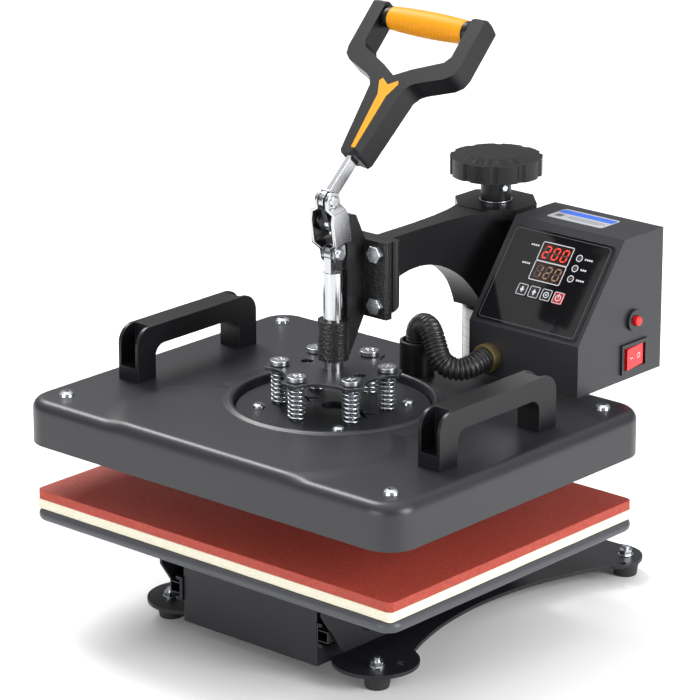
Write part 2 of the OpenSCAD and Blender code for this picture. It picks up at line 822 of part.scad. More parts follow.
module platen_cover() {
    inner_w = platen_w - 2 * cover_wall;
    inner_d = platen_d - 2 * cover_wall;
    roof = platen_h - cover_wall;
    top_w = platen_w - 2 * platen_edge;
    top_d = platen_d - 2 * platen_edge;
    color("#2e3035") translate([0, 0, cover_z]) difference() {
        union() {
            soft_top_slab(platen_w, platen_d, platen_h, platen_corner, platen_edge);
            cylinder(platen_h + 1.5, r = pan_r + 3);
        }
        difference() {
            union() {
                translate([0, 0, -1]) linear_extrude(platen_h - platen_edge + 1)
                    rounded_rect(inner_w, inner_d, platen_corner - cover_wall);
                linear_extrude(roof) rounded_rect(top_w, top_d, platen_corner - platen_edge);
            }
            translate([0, 0, platen_h - pan_depth - cover_wall]) cylinder(platen_h, r = pan_r + cover_wall);
        }
        translate([0, 0, platen_h - pan_depth]) cylinder(platen_h, r = pan_r);
        translate([0, 0, roof - pan_depth - 1]) {
            for (a = [45:90:315]) rotate(a) translate([60, 0, 0]) cylinder(platen_h, r = 2.5 + running);
        }
        each_corner_screw() cylinder(platen_h + 2, r = 3 + running);
        translate([hose_x, hose_y, roof - 1]) cylinder(6, r = 9);
        carry_screw_places() translate([0, 0, roof - 1]) cylinder(6, r = 2.5 + running);
    }
}

module each_corner_screw() {
    for (sx = [-1, 1], sy = [-1, 1]) {
        translate([sx * (platen_w / 2 - 26), sy * (platen_d / 2 - 28), 0]) children();
    }
}

module platen_screws() {
    color("silver") {
        translate([0, 0, cover_top]) each_corner_screw() pan_screw(3, 12);
        for (a = [45:90:315]) rotate(a) translate([60, 0, disc_top]) rotate(20) {
            pan_screw(2.5, disc_t + cover_wall + 0.8);
        }
    }
}

module spring_disc() {
    color("#26272b") translate([0, 0, disc_z]) difference() {
        cylinder(disc_t, r = pan_r - 2);
        translate([0, 0, -1]) {
            cylinder(disc_t + 2, r = 10);
            each_level_bolt() cylinder(disc_t + 2, r = level_bolt_r);
            for (a = [45:90:315]) rotate(a) translate([60, 0, 0]) cylinder(disc_t + 2, r = 2.5 + running);
            for (s = [-1, 1], a = [35, -35]) translate([s * 30, 0, disc_t / 2]) rotate(a) {
                cube([22, 4, disc_t + 3], center = true);
            }
        }
    }
}

module levelling_bolts() {
    color("silver") each_level_bolt() {
        translate([0, 0, disc_z]) cylinder(press_plate_top + gap + 1 - disc_z, r = level_bolt_r);
        difference() {
            translate([0, 0, press_plate_top + gap]) cylinder(4, r = 7.8);
            for (a = [0, 90]) rotate(a) translate([0, 0, press_plate_top + gap + 4]) {
                cube([8, 1.6, 3], center = true);
            }
        }
    }
}

module carry_outline() {
    r = 15;
    leg = 21;
    bar = 17;
    half = carry_len / 2;
    difference() {
        union() {
            translate([-half, 0]) square([carry_len, carry_h - r]);
            translate([r - half, 0]) square([carry_len - 2 * r, carry_h]);
            for (s = [-1, 1]) translate([s * (half - r), carry_h - r]) circle(r);
        }
        translate([leg - half, -1]) square([carry_len - 2 * leg, carry_h - bar - 9]);
        translate([leg + 10 - half, 0]) square([carry_len - 2 * leg - 20, carry_h - bar]);
        for (s = [-1, 1]) translate([s * (half - leg - 10), carry_h - bar - 10]) circle(10);
    }
}

// Each leg has a pocket, open at the end and the top, for the screw that holds it
module carry_handles() {
    wall = 3;
    boss_h = 12;
    color("#1a1b1d") both_sides() translate([carry_x, 0, cover_top]) difference() {
        side_plate(carry_w) carry_outline();
        for (s = [-1, 1]) {
            translate([0, s * (carry_len / 2 - 10.5), -1]) cylinder(boss_h + 2, r = 2.5 + running);
            translate([0, s * (carry_len / 2 - 8), boss_h + carry_h / 2]) {
                cube([carry_w - 2 * wall, 18, carry_h], center = true);
            }
        }
    }
}

module carry_screw_places() {
    for (sx = [-1, 1], sy = [-1, 1]) translate([sx * carry_x, sy * (carry_len / 2 - 10.5), 0]) children();
}

module heat_plate() {
    w = platen_w - 2 * cover_wall - 2 * heat_plate_gap;
    d = platen_d - 2 * cover_wall - 2 * heat_plate_gap;
    color("#c9cbce") difference() {
        translate([0, 0, heat_face]) linear_extrude(heat_plate_t) {
            rounded_rect(w, d, platen_corner - cover_wall - heat_plate_gap);
        }
        translate([0, 0, cover_top - 12.5]) each_corner_screw() cylinder(8, r = 3);
    }
}

module heating_element() {
    tube_r = 3.5;
    x = platen_w / 2 - 60;
    bend = 24;
    rows = [-2, -1, 0, 1, 2];
    color("#8d8f92") translate([0, 0, heat_face + heat_plate_t + tube_r]) {
        for (i = rows) translate([0, i * 2 * bend, 0]) x_cylinder(2 * x, tube_r);
        for (i = [0:3]) {
            s = i % 2 == 0 ? 1 : -1;
            translate([s * x, (2 * i - 3) * bend, 0]) rotate(s > 0 ? -90 : 90) rotate_extrude(angle = 180)
                translate([bend, 0]) circle(tube_r);
        }
    }
}

module insulation() {
    low = heat_face + heat_plate_t + 7;
    w = platen_w - 40;
    d = platen_d - 30;
    color("#e6e2d6") translate([0, 0, low]) difference() {
        linear_extrude(disc_z - cover_wall - low) rounded_rect(w, d, 20);
        for (a = [45:90:315]) rotate(a) translate([60, 0, -1]) cylinder(20, r = 3);
        translate([0, 0, -1]) each_corner_screw() cylinder(20, r = 4);
    }
}

module hose_boss() {
    color("#1a1b1d") translate([hose_x, hose_y, cover_top]) difference() {
        cylinder(30, r = hose_r + 5);
        translate([0, 0, 8]) cylinder(30, r = hose_r + 2);
        translate([0, 0, -1]) cylinder(12, r = 5);
    }
}

// ---------- control box ----------

module box_side(inset) {
    i = inset;
    f = i * tan(panel_tilt / 2);
    g = i * tan((90 - panel_tilt) / 2);
    polygon([[i, i], [i, box_front_h - g], [slope_d + f, box_h - i], [box_d - 2, box_h - i], [box_d - 2, i]]);
}

module in_box() {
    translate([box_x + box_w / 2, box_y, box_z]) children();
}

// Panel frame: X from the press axis, Y up the slope, Z out of the panel
module on_panel() {
    translate([0, box_y, box_z + box_front_h]) rotate([panel_tilt, 0, 0]) children();
}

module panel_windows(z, h) {
    translate([0, 0, z]) {
        for (v = display_v) translate([display_x, v, 0]) cube([display_w, display_h, h]);
        for (k = [0:3]) translate([key_first_x + k * key_pitch, key_v, h / 2]) {
            cube([key_size + 2 * gap, key_size + 2 * gap, h], center = true);
        }
        for (v = indicator_v) translate([indicator_x, v, 0]) cylinder(h, r = 2);
    }
}

module control_box_shell() {
    color("#34363c") difference() {
        in_box() side_plate(box_w) box_side(0);
        difference() {
            in_box() side_plate(box_w - 2 * box_wall) box_side(box_wall);
            translate([box_x + box_w / 2 - 8, box_y + box_d - 12, box_z]) cube([16, 9.9, 8]);
            translate([box_x + box_w / 2 - 8, box_y + box_d - 12, box_z + box_h - 8]) cube([16, 9.9, 8]);
        }
        in_box() side_plate(box_w - 2 * box_wall) translate([box_d - 10, 8]) square([20, box_h - 16]);
        on_panel() panel_windows(-box_wall - 1, box_wall + 2);
        translate([gland_x, box_y, gland_z]) rotate([90, 0, 0]) cylinder(10, r = hose_r + 0.5, center = true);
        translate([box_x + box_w, breaker_y, breaker_z]) x_cylinder(10, 6);
        translate([box_x + box_w, rocker_y, rocker_z]) {
            cube([10, bezel_body_w + 0.2, bezel_body_h + 0.2], center = true);
        }
        box_screw_places() cylinder(30, r = 1.5, center = true);
    }
}

module box_screw_places() {
    for (z = [4, box_h - 4]) {
        translate([box_x + box_w / 2, box_y + box_d - 2, box_z + z]) rotate([-90, 0, 0]) children();
    }
}

module box_back_cover() {
    color("#34363c") difference() {
        in_box() translate([-box_w / 2, box_d - 2, 0]) cube([box_w, 2, box_h]);
        box_screw_places() cylinder(10, r = 1.5 + running, center = true);
        translate([box_x + 30, box_y + box_d, box_z + 26]) cube([28.2, 10, 20.2], center = true);
    }
}

module box_screws() {
    color("silver") box_screw_places() translate([0, 0, 2]) pan_screw(1.5, 10);
}

module control_overlay() {
    color("#08080a") on_panel() difference() {
        translate([box_x + box_w / 2, panel_len / 2 - 2, 0]) linear_extrude(1) rounded_rect(box_w - 10, 85, 3);
        panel_windows(-1, 4);
    }
}

// Two digit blocks and three indicator lamps behind the overlay's windows
module display_modules() {
    color("#c02418") on_panel() {
        translate([0, 0, board_top]) {
            for (v = display_v) translate([display_x + 0.2, v + 0.2, 0]) {
                cube([display_w - 0.4, display_h - 0.4, 6.6]);
            }
            for (v = indicator_v) translate([indicator_x, v, 0]) cylinder(6.8, r = 1.8);
        }
    }
}

module circuit_board() {
    color("#2f6b3c") on_panel() {
        difference() {
            translate([box_x + 15, 22, board_top - 1.6]) cube([box_w - 30, 60, 1.6]);
            for (x = [box_x + 20, box_x + box_w - 20]) translate([x, 52, board_top - 3]) cylinder(6, r = 1.5);
        }
        for (x = [box_x + 20, box_x + box_w - 20]) translate([x, 52, board_top]) {
            cylinder(-board_top - box_wall, r = 2.5);
        }
    }
}

module relay_block() {
    color("#35506e") in_box() translate([-30, 45, box_wall]) cube([34, 30, 26]);
}

module power_inlet() {
    color("#101010") translate([box_x + 30, box_y + box_d, box_z + 26]) difference() {
        union() {
            translate([0, -8, 0]) cube([28, 20, 20], center = true);
            translate([0, 1.5, 0]) cube([34, 3, 26], center = true);
        }
        cube([22, 26, 14], center = true);
    }
    color("silver") translate([box_x + 30, box_y + box_d - 18, box_z + 26]) {
        translate([0, 0.5, 0]) cube([28, 1, 20], center = true);
        for (x = [-7, 0, 7]) translate([x, 8, x == 0 ? 3 : -2]) cube([2, 16, 4], center = true);
    }
}

module hose_gland() {
    color("#8a7a4a") translate([gland_x, box_y, gland_z]) rotate([90, 0, 0]) {
        difference() {
            union() {
                cylinder(8, r = hose_r + 2.5);
                translate([0, 0, -box_wall - 3]) cylinder(6, r = hose_r + 0.5);
                translate([0, 0, -box_wall - 3]) cylinder(3, r = hose_r + 3, $fn = 6);
            }
            translate([0, 0, -10]) cylinder(30, r = hose_r - 2.5);
            translate([0, 0, 2]) cylinder(10, r = hose_r + running);
        }
    }
}

module hose() {
    color("#121214") swept_tube(concat(hose_route, [[gland_x, box_y - 2.2, gland_z]]), hose_r, 12, [1, 0, 0]);
}

module breaker_body() {
    color("#101012") translate([box_x + box_w, breaker_y, breaker_z]) rotate([0, 90, 0]) difference() {
        union() {
            cylinder(3, r = 9);
            translate([0, 0, -20]) cylinder(20, r = 5.9);
        }
        translate([0, 0, -6]) cylinder(20, r = 4 + gap);
    }
}

module reset_button() {
    color("#d0202a") translate([box_x + box_w - 3, breaker_y, breaker_z]) rotate([0, 90, 0]) {
        cylinder(9, r = 4);
        translate([0, 0, 9]) cylinder(1, r1 = 4, r2 = 3);
    }
}

module switch_bezel() {
    color("#101012") translate([box_x + box_w, rocker_y, rocker_z]) difference() {
        union() {
            translate([1, 0, 0]) cube([2, 34, 25], center = true);
            translate([-7, 0, 0]) cube([18, bezel_body_w, bezel_body_h], center = true);
        }
        translate([-3, 0, 0]) cube([14, bezel_body_w - 2.8, rocker_h + 1], center = true);
        translate([-3, 0, 0]) cylinder(rocker_h + 3, r = rocker_pin_r + running, center = true);
    }
}

// Rocker with a shallow V face, turning on two stub pins along Z
module rocker() {
    half = (bezel_body_w - 2.8) / 2 - 1.8;
    color("#d8202a") translate([box_x + box_w, rocker_y, rocker_z]) {
        linear_extrude(rocker_h, center = true) {
            polygon([[-6, -3], [-1, -half], [3.6, -half], [2.2, 0], [0.8, half], [-1, half], [-6, 3]]);
        }
        translate([-3, 0, 0]) cylinder(rocker_h + 2.6, r = rocker_pin_r, center = true);
    }
}

module panel_key(k) {
    low = board_top + 0.6;
    on_panel() translate([key_first_x + k * key_pitch, key_v, low]) {
        linear_extrude(1.6 - low) rounded_rect(key_size, key_size, 1);
    }
}

module key_1() { color("#202024") panel_key(0); }
module key_2() { color("#202024") panel_key(1); }
module key_3() { color("#202024") panel_key(2); }
module key_4() { color("#c8303a") panel_key(3); }

at_press() base_plate();
at_press() rubber_feet();
at_press() foot_screws();
at_press() post_column();
at_press() post_shaft();
at_press() post_bolts();
at_press() slide_outer_rails();
at_press() slide_middle_rails();
at_press() slide_inner_rails();
at_press() bed_brackets();
at_press() bed_tray();
at_press() foam_pad();
at_press() silicone_pad();
at_press() bed_screws();
at_press() thrust_ring();
at_press() swing_arm();
at_press() collar_bush();
at_press() guide_bracket();
at_press() bracket_bolts();
at_press() lever_pivot_pin();
at_press() control_box_shell();
at_press() box_back_cover();
at_press() box_screws();
at_press() control_overlay();
at_press() display_modules();
at_press() circuit_board();
at_press() relay_block();
at_press() power_inlet();
at_press() hose_gland();
at_press() hose();
at_press() breaker_body();
at_press() switch_bezel();
at_press() pressure_knob();
at_press() knob_hardware();
at_press() pressure_screw();
at_press() lever_bar();
at_press() handle_shell();
at_press() grip_sleeve();
at_press() handle_inlay();
at_press() link_plates();
at_press() link_rivets();
at_press() plunger_shaft();
at_press() press_plate();
at_press() springs();
at_press() platen_cover();
at_press() platen_screws();
at_press() spring_disc();
at_press() levelling_bolts();
at_press() carry_handles();
at_press() heat_plate();
at_press() heating_element();
at_press() insulation();
at_press() hose_boss();
at_press() rocker();
at_press() reset_button();
at_press() key_1();
at_press() key_2();
at_press() key_3();
at_press() key_4();
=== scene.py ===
import json
import math
import bmesh
import bpy
import numpy as np
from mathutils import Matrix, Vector
from mathutils.bvhtree import BVHTree

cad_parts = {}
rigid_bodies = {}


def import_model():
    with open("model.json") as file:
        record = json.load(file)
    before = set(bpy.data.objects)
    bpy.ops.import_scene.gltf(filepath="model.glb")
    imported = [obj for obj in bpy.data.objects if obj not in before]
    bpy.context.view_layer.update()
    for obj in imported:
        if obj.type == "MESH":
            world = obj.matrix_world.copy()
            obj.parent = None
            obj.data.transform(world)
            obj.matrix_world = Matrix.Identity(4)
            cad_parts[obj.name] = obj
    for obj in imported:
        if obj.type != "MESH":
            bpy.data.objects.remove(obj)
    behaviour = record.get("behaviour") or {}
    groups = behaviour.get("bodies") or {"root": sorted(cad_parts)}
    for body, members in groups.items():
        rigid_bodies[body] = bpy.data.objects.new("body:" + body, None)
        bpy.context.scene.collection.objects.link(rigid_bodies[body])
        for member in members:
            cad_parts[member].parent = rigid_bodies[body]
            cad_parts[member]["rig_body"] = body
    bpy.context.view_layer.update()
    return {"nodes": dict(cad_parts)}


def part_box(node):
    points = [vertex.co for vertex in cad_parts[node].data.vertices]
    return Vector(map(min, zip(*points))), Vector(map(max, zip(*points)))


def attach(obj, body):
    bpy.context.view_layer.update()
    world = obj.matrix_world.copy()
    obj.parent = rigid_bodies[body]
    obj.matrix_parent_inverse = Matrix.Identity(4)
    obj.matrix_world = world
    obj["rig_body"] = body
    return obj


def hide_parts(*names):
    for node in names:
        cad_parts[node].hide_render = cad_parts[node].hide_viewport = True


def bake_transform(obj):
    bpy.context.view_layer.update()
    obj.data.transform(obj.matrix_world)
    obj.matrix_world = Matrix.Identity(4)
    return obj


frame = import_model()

# ---- Studio ----
# A seamless pale table, a soft box high on the left, a wide low one in front and a large one on the
# right. The camera has a long lens and looks down a little.
stage_scene = bpy.context.scene
camera_place = Vector((1.88074, -2.17701, 1.16452))
camera_aim = Vector((0.0006, -0.0341, 0.2306))
camera_data = bpy.data.cameras.new("camera")
camera_data.lens = 192.2
camera_data.sensor_width = 36.0
camera_data.clip_start = 0.1
camera_data.clip_end = 50.0
camera = bpy.data.objects.new("camera", camera_data)
camera.location = camera_place
camera.rotation_euler = (camera_aim - camera_place).to_track_quat("-Z", "Y").to_euler()
stage_scene.collection.objects.link(camera)
stage_scene.camera = camera


def soft_box(name, place, aim, width, height, power):
    lamp = bpy.data.lights.new(name, "AREA")
    lamp.shape = "RECTANGLE"
    lamp.size = width
    lamp.size_y = height
    lamp.energy = power
    box = bpy.data.objects.new(name, lamp)
    box.location = place
    box.rotation_euler = (Vector(aim) - Vector(place)).to_track_quat("-Z", "Y").to_euler()
    stage_scene.collection.objects.link(box)


soft_box("key_light", (-1.5, 0.4, 2.1), (0, 0, 0.2), 0.8, 1.3, 46)
soft_box("front_light", (-0.2, -3.0, 0.7), (0, 0, 0.2), 2.2, 1.0, 40)
soft_box("right_light", (2.9, 0.4, 1.2), (0, 0, 0.25), 1.3, 1.7, 90)
stage_scene.view_settings.view_transform = "Standard"


# Shader maths is written on sockets: a Wire is one output of a shader node.
def plug(target, value):
    if isinstance(value, Wire):
        value.socket.id_data.links.new(value.socket, target)
    elif isinstance(value, tuple) and len(value) == 3 and len(target.default_value) == 4:
        target.default_value = (*value, 1.0)
    else:
        target.default_value = value


class Wire:
    def __init__(self, socket):
        self.socket = socket

    def node(self, kind, settings=None, output=0, **inputs):
        made = self.socket.id_data.nodes.new("ShaderNode" + kind)
        for name, value in (settings or {}).items():
            if name == "stops":
                while len(made.color_ramp.elements) < len(value):
                    made.color_ramp.elements.new(0.5)
                for stop, (place, shade) in zip(made.color_ramp.elements, value):
                    stop.position = place
                    stop.color = (shade, shade, shade, 1)
            else:
                setattr(made, name, value)
        for name, value in inputs.items():
            key = int(name[1:]) if name[0] == "i" and name[1:].isdigit() else name.replace("_", " ")
            plug(made.inputs[key], value)
        return Wire(made.outputs[output])

    def maths(self, operation, first, second=0.0):
        return self.node("Math", {"operation": operation}, i0=first, i1=second)

    def __add__(self, other):
        return self.maths("ADD", self, other)

    def __mul__(self, other):
        return self.maths("MULTIPLY", self, other)

    def ramp(self, *stops):
        return self.node("ValToRGB", {"stops": stops}, Fac=self)

    def noise(self, scale, detail=3.0, roughness=0.55):
        return self.node("TexNoise", None, 0, Vector=self, Scale=scale, Detail=detail, Roughness=roughness)

    def mix(self, dark, light):
        settings = {"data_type": "RGBA"}
        return self.node("Mix", settings, 2, i0=self, i6=dark, i7=light)

    def bump(self, strength, depth):
        return self.node("Bump", None, 0, Height=self, Strength=strength, Distance=depth)


def new_finish(name):
    """A material, its shader's inputs and the object coordinates."""
    made = bpy.data.materials.new(name)
    made.use_nodes = True
    tree = made.node_tree
    spot = Wire(tree.nodes.new("ShaderNodeTexCoord").outputs["Object"])
    return made, tree.nodes["Principled BSDF"].inputs, spot


# Bevelled edges are painted lighter through this mask: partly wear, partly a painted highlight along them.
def edge_wear_and_highlight_mask(tree_wire):
    """1 on the rounded edges of a softened piece, 0 elsewhere."""
    return tree_wire.node("Attribute", {"attribute_name": "edge"}, 2)


# The studio tent: bright overhead, dim along the walls.
world = bpy.data.worlds.new("studio")
world.use_nodes = True
sky = Wire(world.node_tree.nodes.new("ShaderNodeTexCoord").outputs["Generated"])
sky_height = sky.node("SeparateXYZ", None, 2, Vector=sky)
sky_shade = sky_height.ramp((0.0, 0.12), (0.35, 0.16), (0.75, 0.55), (1.0, 1.0))
world.node_tree.links.new(sky_shade.socket, world.node_tree.nodes["Background"].inputs["Color"])
world.node_tree.nodes["Background"].inputs["Strength"].default_value = 1.7
stage_scene.world = world


def painted(name, colour, edge_wear_highlight_colour, gloss, grain_scale, grain_depth, shine=0.5):
    """Paint over steel: fine texture in the film, faint blotches in the gloss, and edges painted lighter, partly
    as rubbed wear and partly as a painted highlight.
    """
    made, shader, spot = new_finish(name)
    blotch = spot.noise(14.0, 4.0)
    grain = spot.noise(grain_scale, 2.0)
    # Lighter colour on the bevelled edges: partly rubbed paint, partly a painted highlight.
    rubbed_and_highlit = edge_wear_and_highlight_mask(spot) * spot.noise(60.0, 3.0).ramp((0.35, 0.3), (0.65, 0.9))
    film = blotch.mix(shaded(colour, 0.93), shaded(colour, 1.06))
    plug(shader["Base Color"], rubbed_and_highlit.mix(film, edge_wear_highlight_colour))
    plug(shader["Roughness"], blotch * 0.05 + (gloss - 0.055) + grain * 0.06)
    plug(shader["Normal"], grain.bump(0.4, grain_depth))
    plug(shader["Specular IOR Level"], shine)
    return made


def bare_metal(name, colour, roughness, streak=(1.0, 1.0, 1.0), depth=0.00002, stain=0.12):
    """Plated or ground metal: fine tool marks along one way, and a slight tarnish."""
    made, shader, spot = new_finish(name)
    tarnish = spot.noise(45.0, 4.0)
    marks = spot.node("Mapping", None, 0, Vector=spot, Scale=streak).noise(700.0, 3.0)
    plug(shader["Base Color"], tarnish.mix(shaded(colour, 1 - stain), colour))
    plug(shader["Metallic"], 1.0)
    plug(shader["Roughness"], marks * 0.12 + tarnish * 0.08 + (roughness - 0.1))
    plug(shader["Normal"], marks.bump(0.35, depth))
    return made


def moulded(name, colour, roughness, grain_scale=1400.0, depth=0.00004, edge_wear_highlight_colour=None, shine=0.5):
    """Injection-moulded plastic with a spark-eroded grain, and bevelled edges painted lighter, partly as wear and
    partly as a painted highlight.
    """
    made, shader, spot = new_finish(name)
    grain = spot.noise(grain_scale, 2.0)
    cloud = spot.noise(18.0, 3.0)
    shade = cloud.mix(shaded(colour, 0.9), shaded(colour, 1.1))
    # Lighter colour on the bevelled edges: partly wear, partly a painted highlight.
    plug(shader["Base Color"], edge_wear_and_highlight_mask(spot).mix(shade, edge_wear_highlight_colour or shaded(colour, 1.5)))
    plug(shader["Roughness"], cloud * 0.1 + grain * 0.08 + (roughness - 0.09))
    plug(shader["Normal"], grain.bump(0.4, depth))
    plug(shader["Specular IOR Level"], shine)
    return made


def shaded(colour, share):
    return tuple(share * c for c in colour)


def band(low, high, count):
    """Faces between two rings of the same number of points, given by each ring's first point."""
    return [(low + k, low + (k + 1) % count, high + (k + 1) % count, high + k) for k in range(count)]


def corner_turns(steps):
    """Sides and angle of each point round the four rounded corners of a rectangle."""
    for sx, sy, start in ((1, 1, 0), (-1, 1, 90), (-1, -1, 180), (1, -1, 270)):
        for k in range(steps + 1):
            yield sx, sy, math.radians(start + 90 * k / steps)


def new_piece(name, points, faces, finish):
    """A smooth-shaded mesh piece with its normals outwards."""
    mesh = bpy.data.meshes.new(name)
    mesh.from_pydata([tuple(p) for p in points], [], faces)
    work = bmesh.new()
    work.from_mesh(mesh)
    bmesh.ops.remove_doubles(work, verts=work.verts, dist=1e-7)
    bmesh.ops.recalc_face_normals(work, faces=work.faces)
    work.to_mesh(mesh)
    work.free()
    mesh.materials.append(finish)
    mesh.shade_smooth()
    piece = bpy.data.objects.new(name, mesh)
    stage_scene.collection.objects.link(piece)
    return piece


def weighted(piece, angle=40):
    """Smooth shading that keeps flat faces flat and breaks at edges sharper than the angle."""
    piece.data.set_sharp_from_angle(angle=math.radians(angle))
    shading = piece.modifiers.new("shading", "WEIGHTED_NORMAL")
    shading.keep_sharp = True
    flat = bpy.data.meshes.new_from_object(piece.evaluated_get(bpy.context.evaluated_depsgraph_get()))
    piece.modifiers.clear()
    old = piece.data
    piece.data = flat
    bpy.data.meshes.remove(old)


def softened(node, finish, slot, width=0.0004, segments=2, angle=35):
    """The CAD node again with its sharp edges rounded and its curves smooth."""
    work = bmesh.new()
    work.from_mesh(frame["nodes"][node].data)
    bmesh.ops.remove_doubles(work, verts=work.verts, dist=2e-6)
    bmesh.ops.dissolve_degenerate(work, edges=work.edges, dist=1e-6)
    bmesh.ops.dissolve_limit(work, angle_limit=math.radians(0.6), verts=work.verts, edges=work.edges)
    mark = work.faces.layers.float.new("edge")
    if width:
        sharp = [e for e in work.edges if len(e.link_faces) == 2 and e.calc_face_angle(0) > math.radians(angle)]
        made = bmesh.ops.bevel(work, geom=sharp, offset=width, segments=segments, profile=0.5, affect="EDGES",
                               clamp_overlap=True, offset_type="OFFSET")
        for face in made["faces"]:
            face[mark] = 1.0
    mesh = bpy.data.meshes.new(node + "_soft")
    work.to_mesh(mesh)
    work.free()
    mesh.materials.clear()
    mesh.materials.append(finish)
    mesh.shade_smooth()
    piece = bpy.data.objects.new(node + "_soft", mesh)
    stage_scene.collection.objects.link(piece)
    weighted(piece)
    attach(piece, frame["nodes"][node]["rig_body"])
    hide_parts(node)
    return piece


# The table: one large pale sheet with the faintest grain.
table_white, table_shader, table_spot = new_finish("table_white")
plug(table_shader["Base Color"], table_spot.noise(3.0).mix((0.93, 0.93, 0.93), (0.96, 0.96, 0.96)))
plug(table_shader["Roughness"], 0.6)
table = new_piece("table", [(-12, -12, 0), (12, -12, 0), (12, 12, 0), (-12, 12, 0)], [(0, 1, 2, 3)], table_white)

# ---- Hose ----
# Corrugated nylon conduit for the heater's wires, from the boss on the platen cover to the control box.
# It is pushed into the boss and held by a brass gland on the box; it stretches as the platen goes down, but here
# it is one fixed mesh that doesn't follow the platen.
axis_y = -0.05375
hose_points_mm = [(5, 98, 213), (5, 98, 219), (5, 98, 225), (7, 97, 231), (11, 96, 235.5), (17, 94, 237.5),
                  (24, 91, 236.5), (30, 88, 232), (35, 86, 225), (40, 84, 218), (46, 84, 212.5), (53, 86, 210),
                  (59, 91, 209.5), (63, 98, 211), (64, 106, 213), (64, 112, 214), (64, 117.8, 214)]
hose_points = [Vector((x / 1000, y / 1000 + axis_y, z / 1000)) for x, y, z in hose_points_mm]


def smooth_line(points, step):
    """Points a step apart on the smooth curve through the given ones."""
    line = []
    for i in range(len(points) - 1):
        a, b = points[max(i - 1, 0)], points[i]
        c, d = points[i + 1], points[min(i + 2, len(points) - 1)]
        count = max(2, round((c - b).length / step))
        for k in range(count):
            t = k / count
            line.append(0.5 * (2 * b + (c - a) * t + (2 * a - 5 * b + 4 * c - d) * t * t
                               + (3 * b - a - 3 * c + d) * t ** 3))
    line.append(points[-1])
    return line


def swept(line, radii, sides, first_side):
    """Points and faces of a closed tube along a line."""
    points = []
    faces = []
    side = Vector(first_side)
    last = len(line) - 1
    for i, spot in enumerate(line):
        ahead = (line[min(i + 1, last)] - line[max(i - 1, 0)]).normalized()
        side = (side - ahead * side.dot(ahead)).normalized()
        up = ahead.cross(side)
        for k in range(sides):
            turn = math.tau * k / sides
            points.append(spot + radii[i] * (math.cos(turn) * side + math.sin(turn) * up))
    for i in range(last):
        faces += band(i * sides, (i + 1) * sides, sides)
    faces.append(tuple(range(sides)))
    faces.append(tuple(last * sides + k for k in range(sides)))
    return points, faces


hose_radius = 0.0095
hose_pitch = 0.0033
hose_groove = 0.0016
hose_line = smooth_line(hose_points, 0.00045)
hose_run = [0.0]
for here, there in zip(hose_line, hose_line[1:]):
    hose_run.append(hose_run[-1] + (there - here).length)
hose_radii = [hose_radius - hose_groove * max(0.0, math.cos(math.tau * s / hose_pitch)) ** 0.8 for s in hose_run]
hose_black = moulded("hose_black", (0.012, 0.012, 0.014), 0.36, 900.0, 0.00003)
hose_mesh = swept(hose_line, hose_radii, 36, (1, 0, 0))
hose = new_piece("hose_corrugated", *hose_mesh, hose_black)
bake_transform(hose)
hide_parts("hose")

# ---- Base plate and feet ----
# One laser-cut steel plate with the slide box welded on, in fine-texture black powder coat.
# Rubber feet are held by bright screws and nuts; the post's flange is bolted down at the back.
chassis_black = painted("chassis_black", (0.010, 0.0105, 0.013), (0.05, 0.052, 0.06), 0.44, 1100.0, 0.00004, 0.35)
softened("base_plate", chassis_black, "black_steel", 0.0005)
rubber_black = moulded("rubber_black", (0.013, 0.013, 0.014), 0.62, 500.0, 0.0001)
softened("rubber_feet", rubber_black, "rubber_black", 0.0008, 3)
bright_zinc = bare_metal("bright_zinc", (0.62, 0.64, 0.68), 0.25)
softened("foot_screws", bright_zinc, "zinc", 0.0003)
softened("post_bolts", bright_zinc, "zinc", 0.0003)

# ---- Post ----
# Steel tube welded to a round flange and painted satin black, over a ground inner post on which the arm
# swings. A plain paper label is wrapped round the top of the tube.
post_paint = painted("post_paint", (0.007, 0.007, 0.008), (0.03, 0.03, 0.034), 0.34, 700.0, 0.00002, 0.35)
softened("post_column", post_paint, "post_black", 0.0006)
ground_steel = bare_metal("ground_steel", (0.6, 0.6, 0.61), 0.28, (1.0, 1.0, 14.0))
softened("post_shaft", ground_steel, "ground_steel", 0.0005)
softened("thrust_ring", bare_metal("sintered_bronze", (0.62, 0.42, 0.2), 0.4), "bronze", 0.0002)
column_low, column_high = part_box("post_column")
post_y = (column_low.y + column_high.y) / 2
label_paper, label_shader, label_spot = new_finish("label_paper")
label_rows = label_spot.node("SeparateXYZ", None, 2, Vector=label_spot) * 125.0
label_rule = label_rows.maths("FRACT", label_rows).ramp((0.0, 1.0), (0.08, 0.35), (0.16, 1.0))
plug(label_shader["Base Color"], label_rule.mix((0.45, 0.46, 0.48), (0.86, 0.86, 0.85)))
plug(label_shader["Roughness"], label_spot.noise(200.0) * 0.1 + 0.35)
label_points = []
label_faces = []
label_steps = 40
label_in, label_out = 0.02702, 0.02712
label_foot, label_head = 0.150, 0.2262
for i in range(label_steps + 1):
    turn = math.radians(-125 + 150 * i / label_steps)
    for radius, z in ((label_out, label_foot), (label_out, label_head),
                      (label_in, label_head), (label_in, label_foot)):
        label_points.append((radius * math.cos(turn), post_y + radius * math.sin(turn), z))
for i in range(label_steps):
    for k in range(4):
        label_faces.append((4 * i + k, 4 * i + (k + 1) % 4, 4 * i + 4 + (k + 1) % 4, 4 * i + 4 + k))
label_faces += [(0, 1, 2, 3), tuple(4 * label_steps + k for k in range(4))]
post_label = new_piece("post_label", label_points, label_faces, label_paper)
weighted(post_label)
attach(post_label, "base")

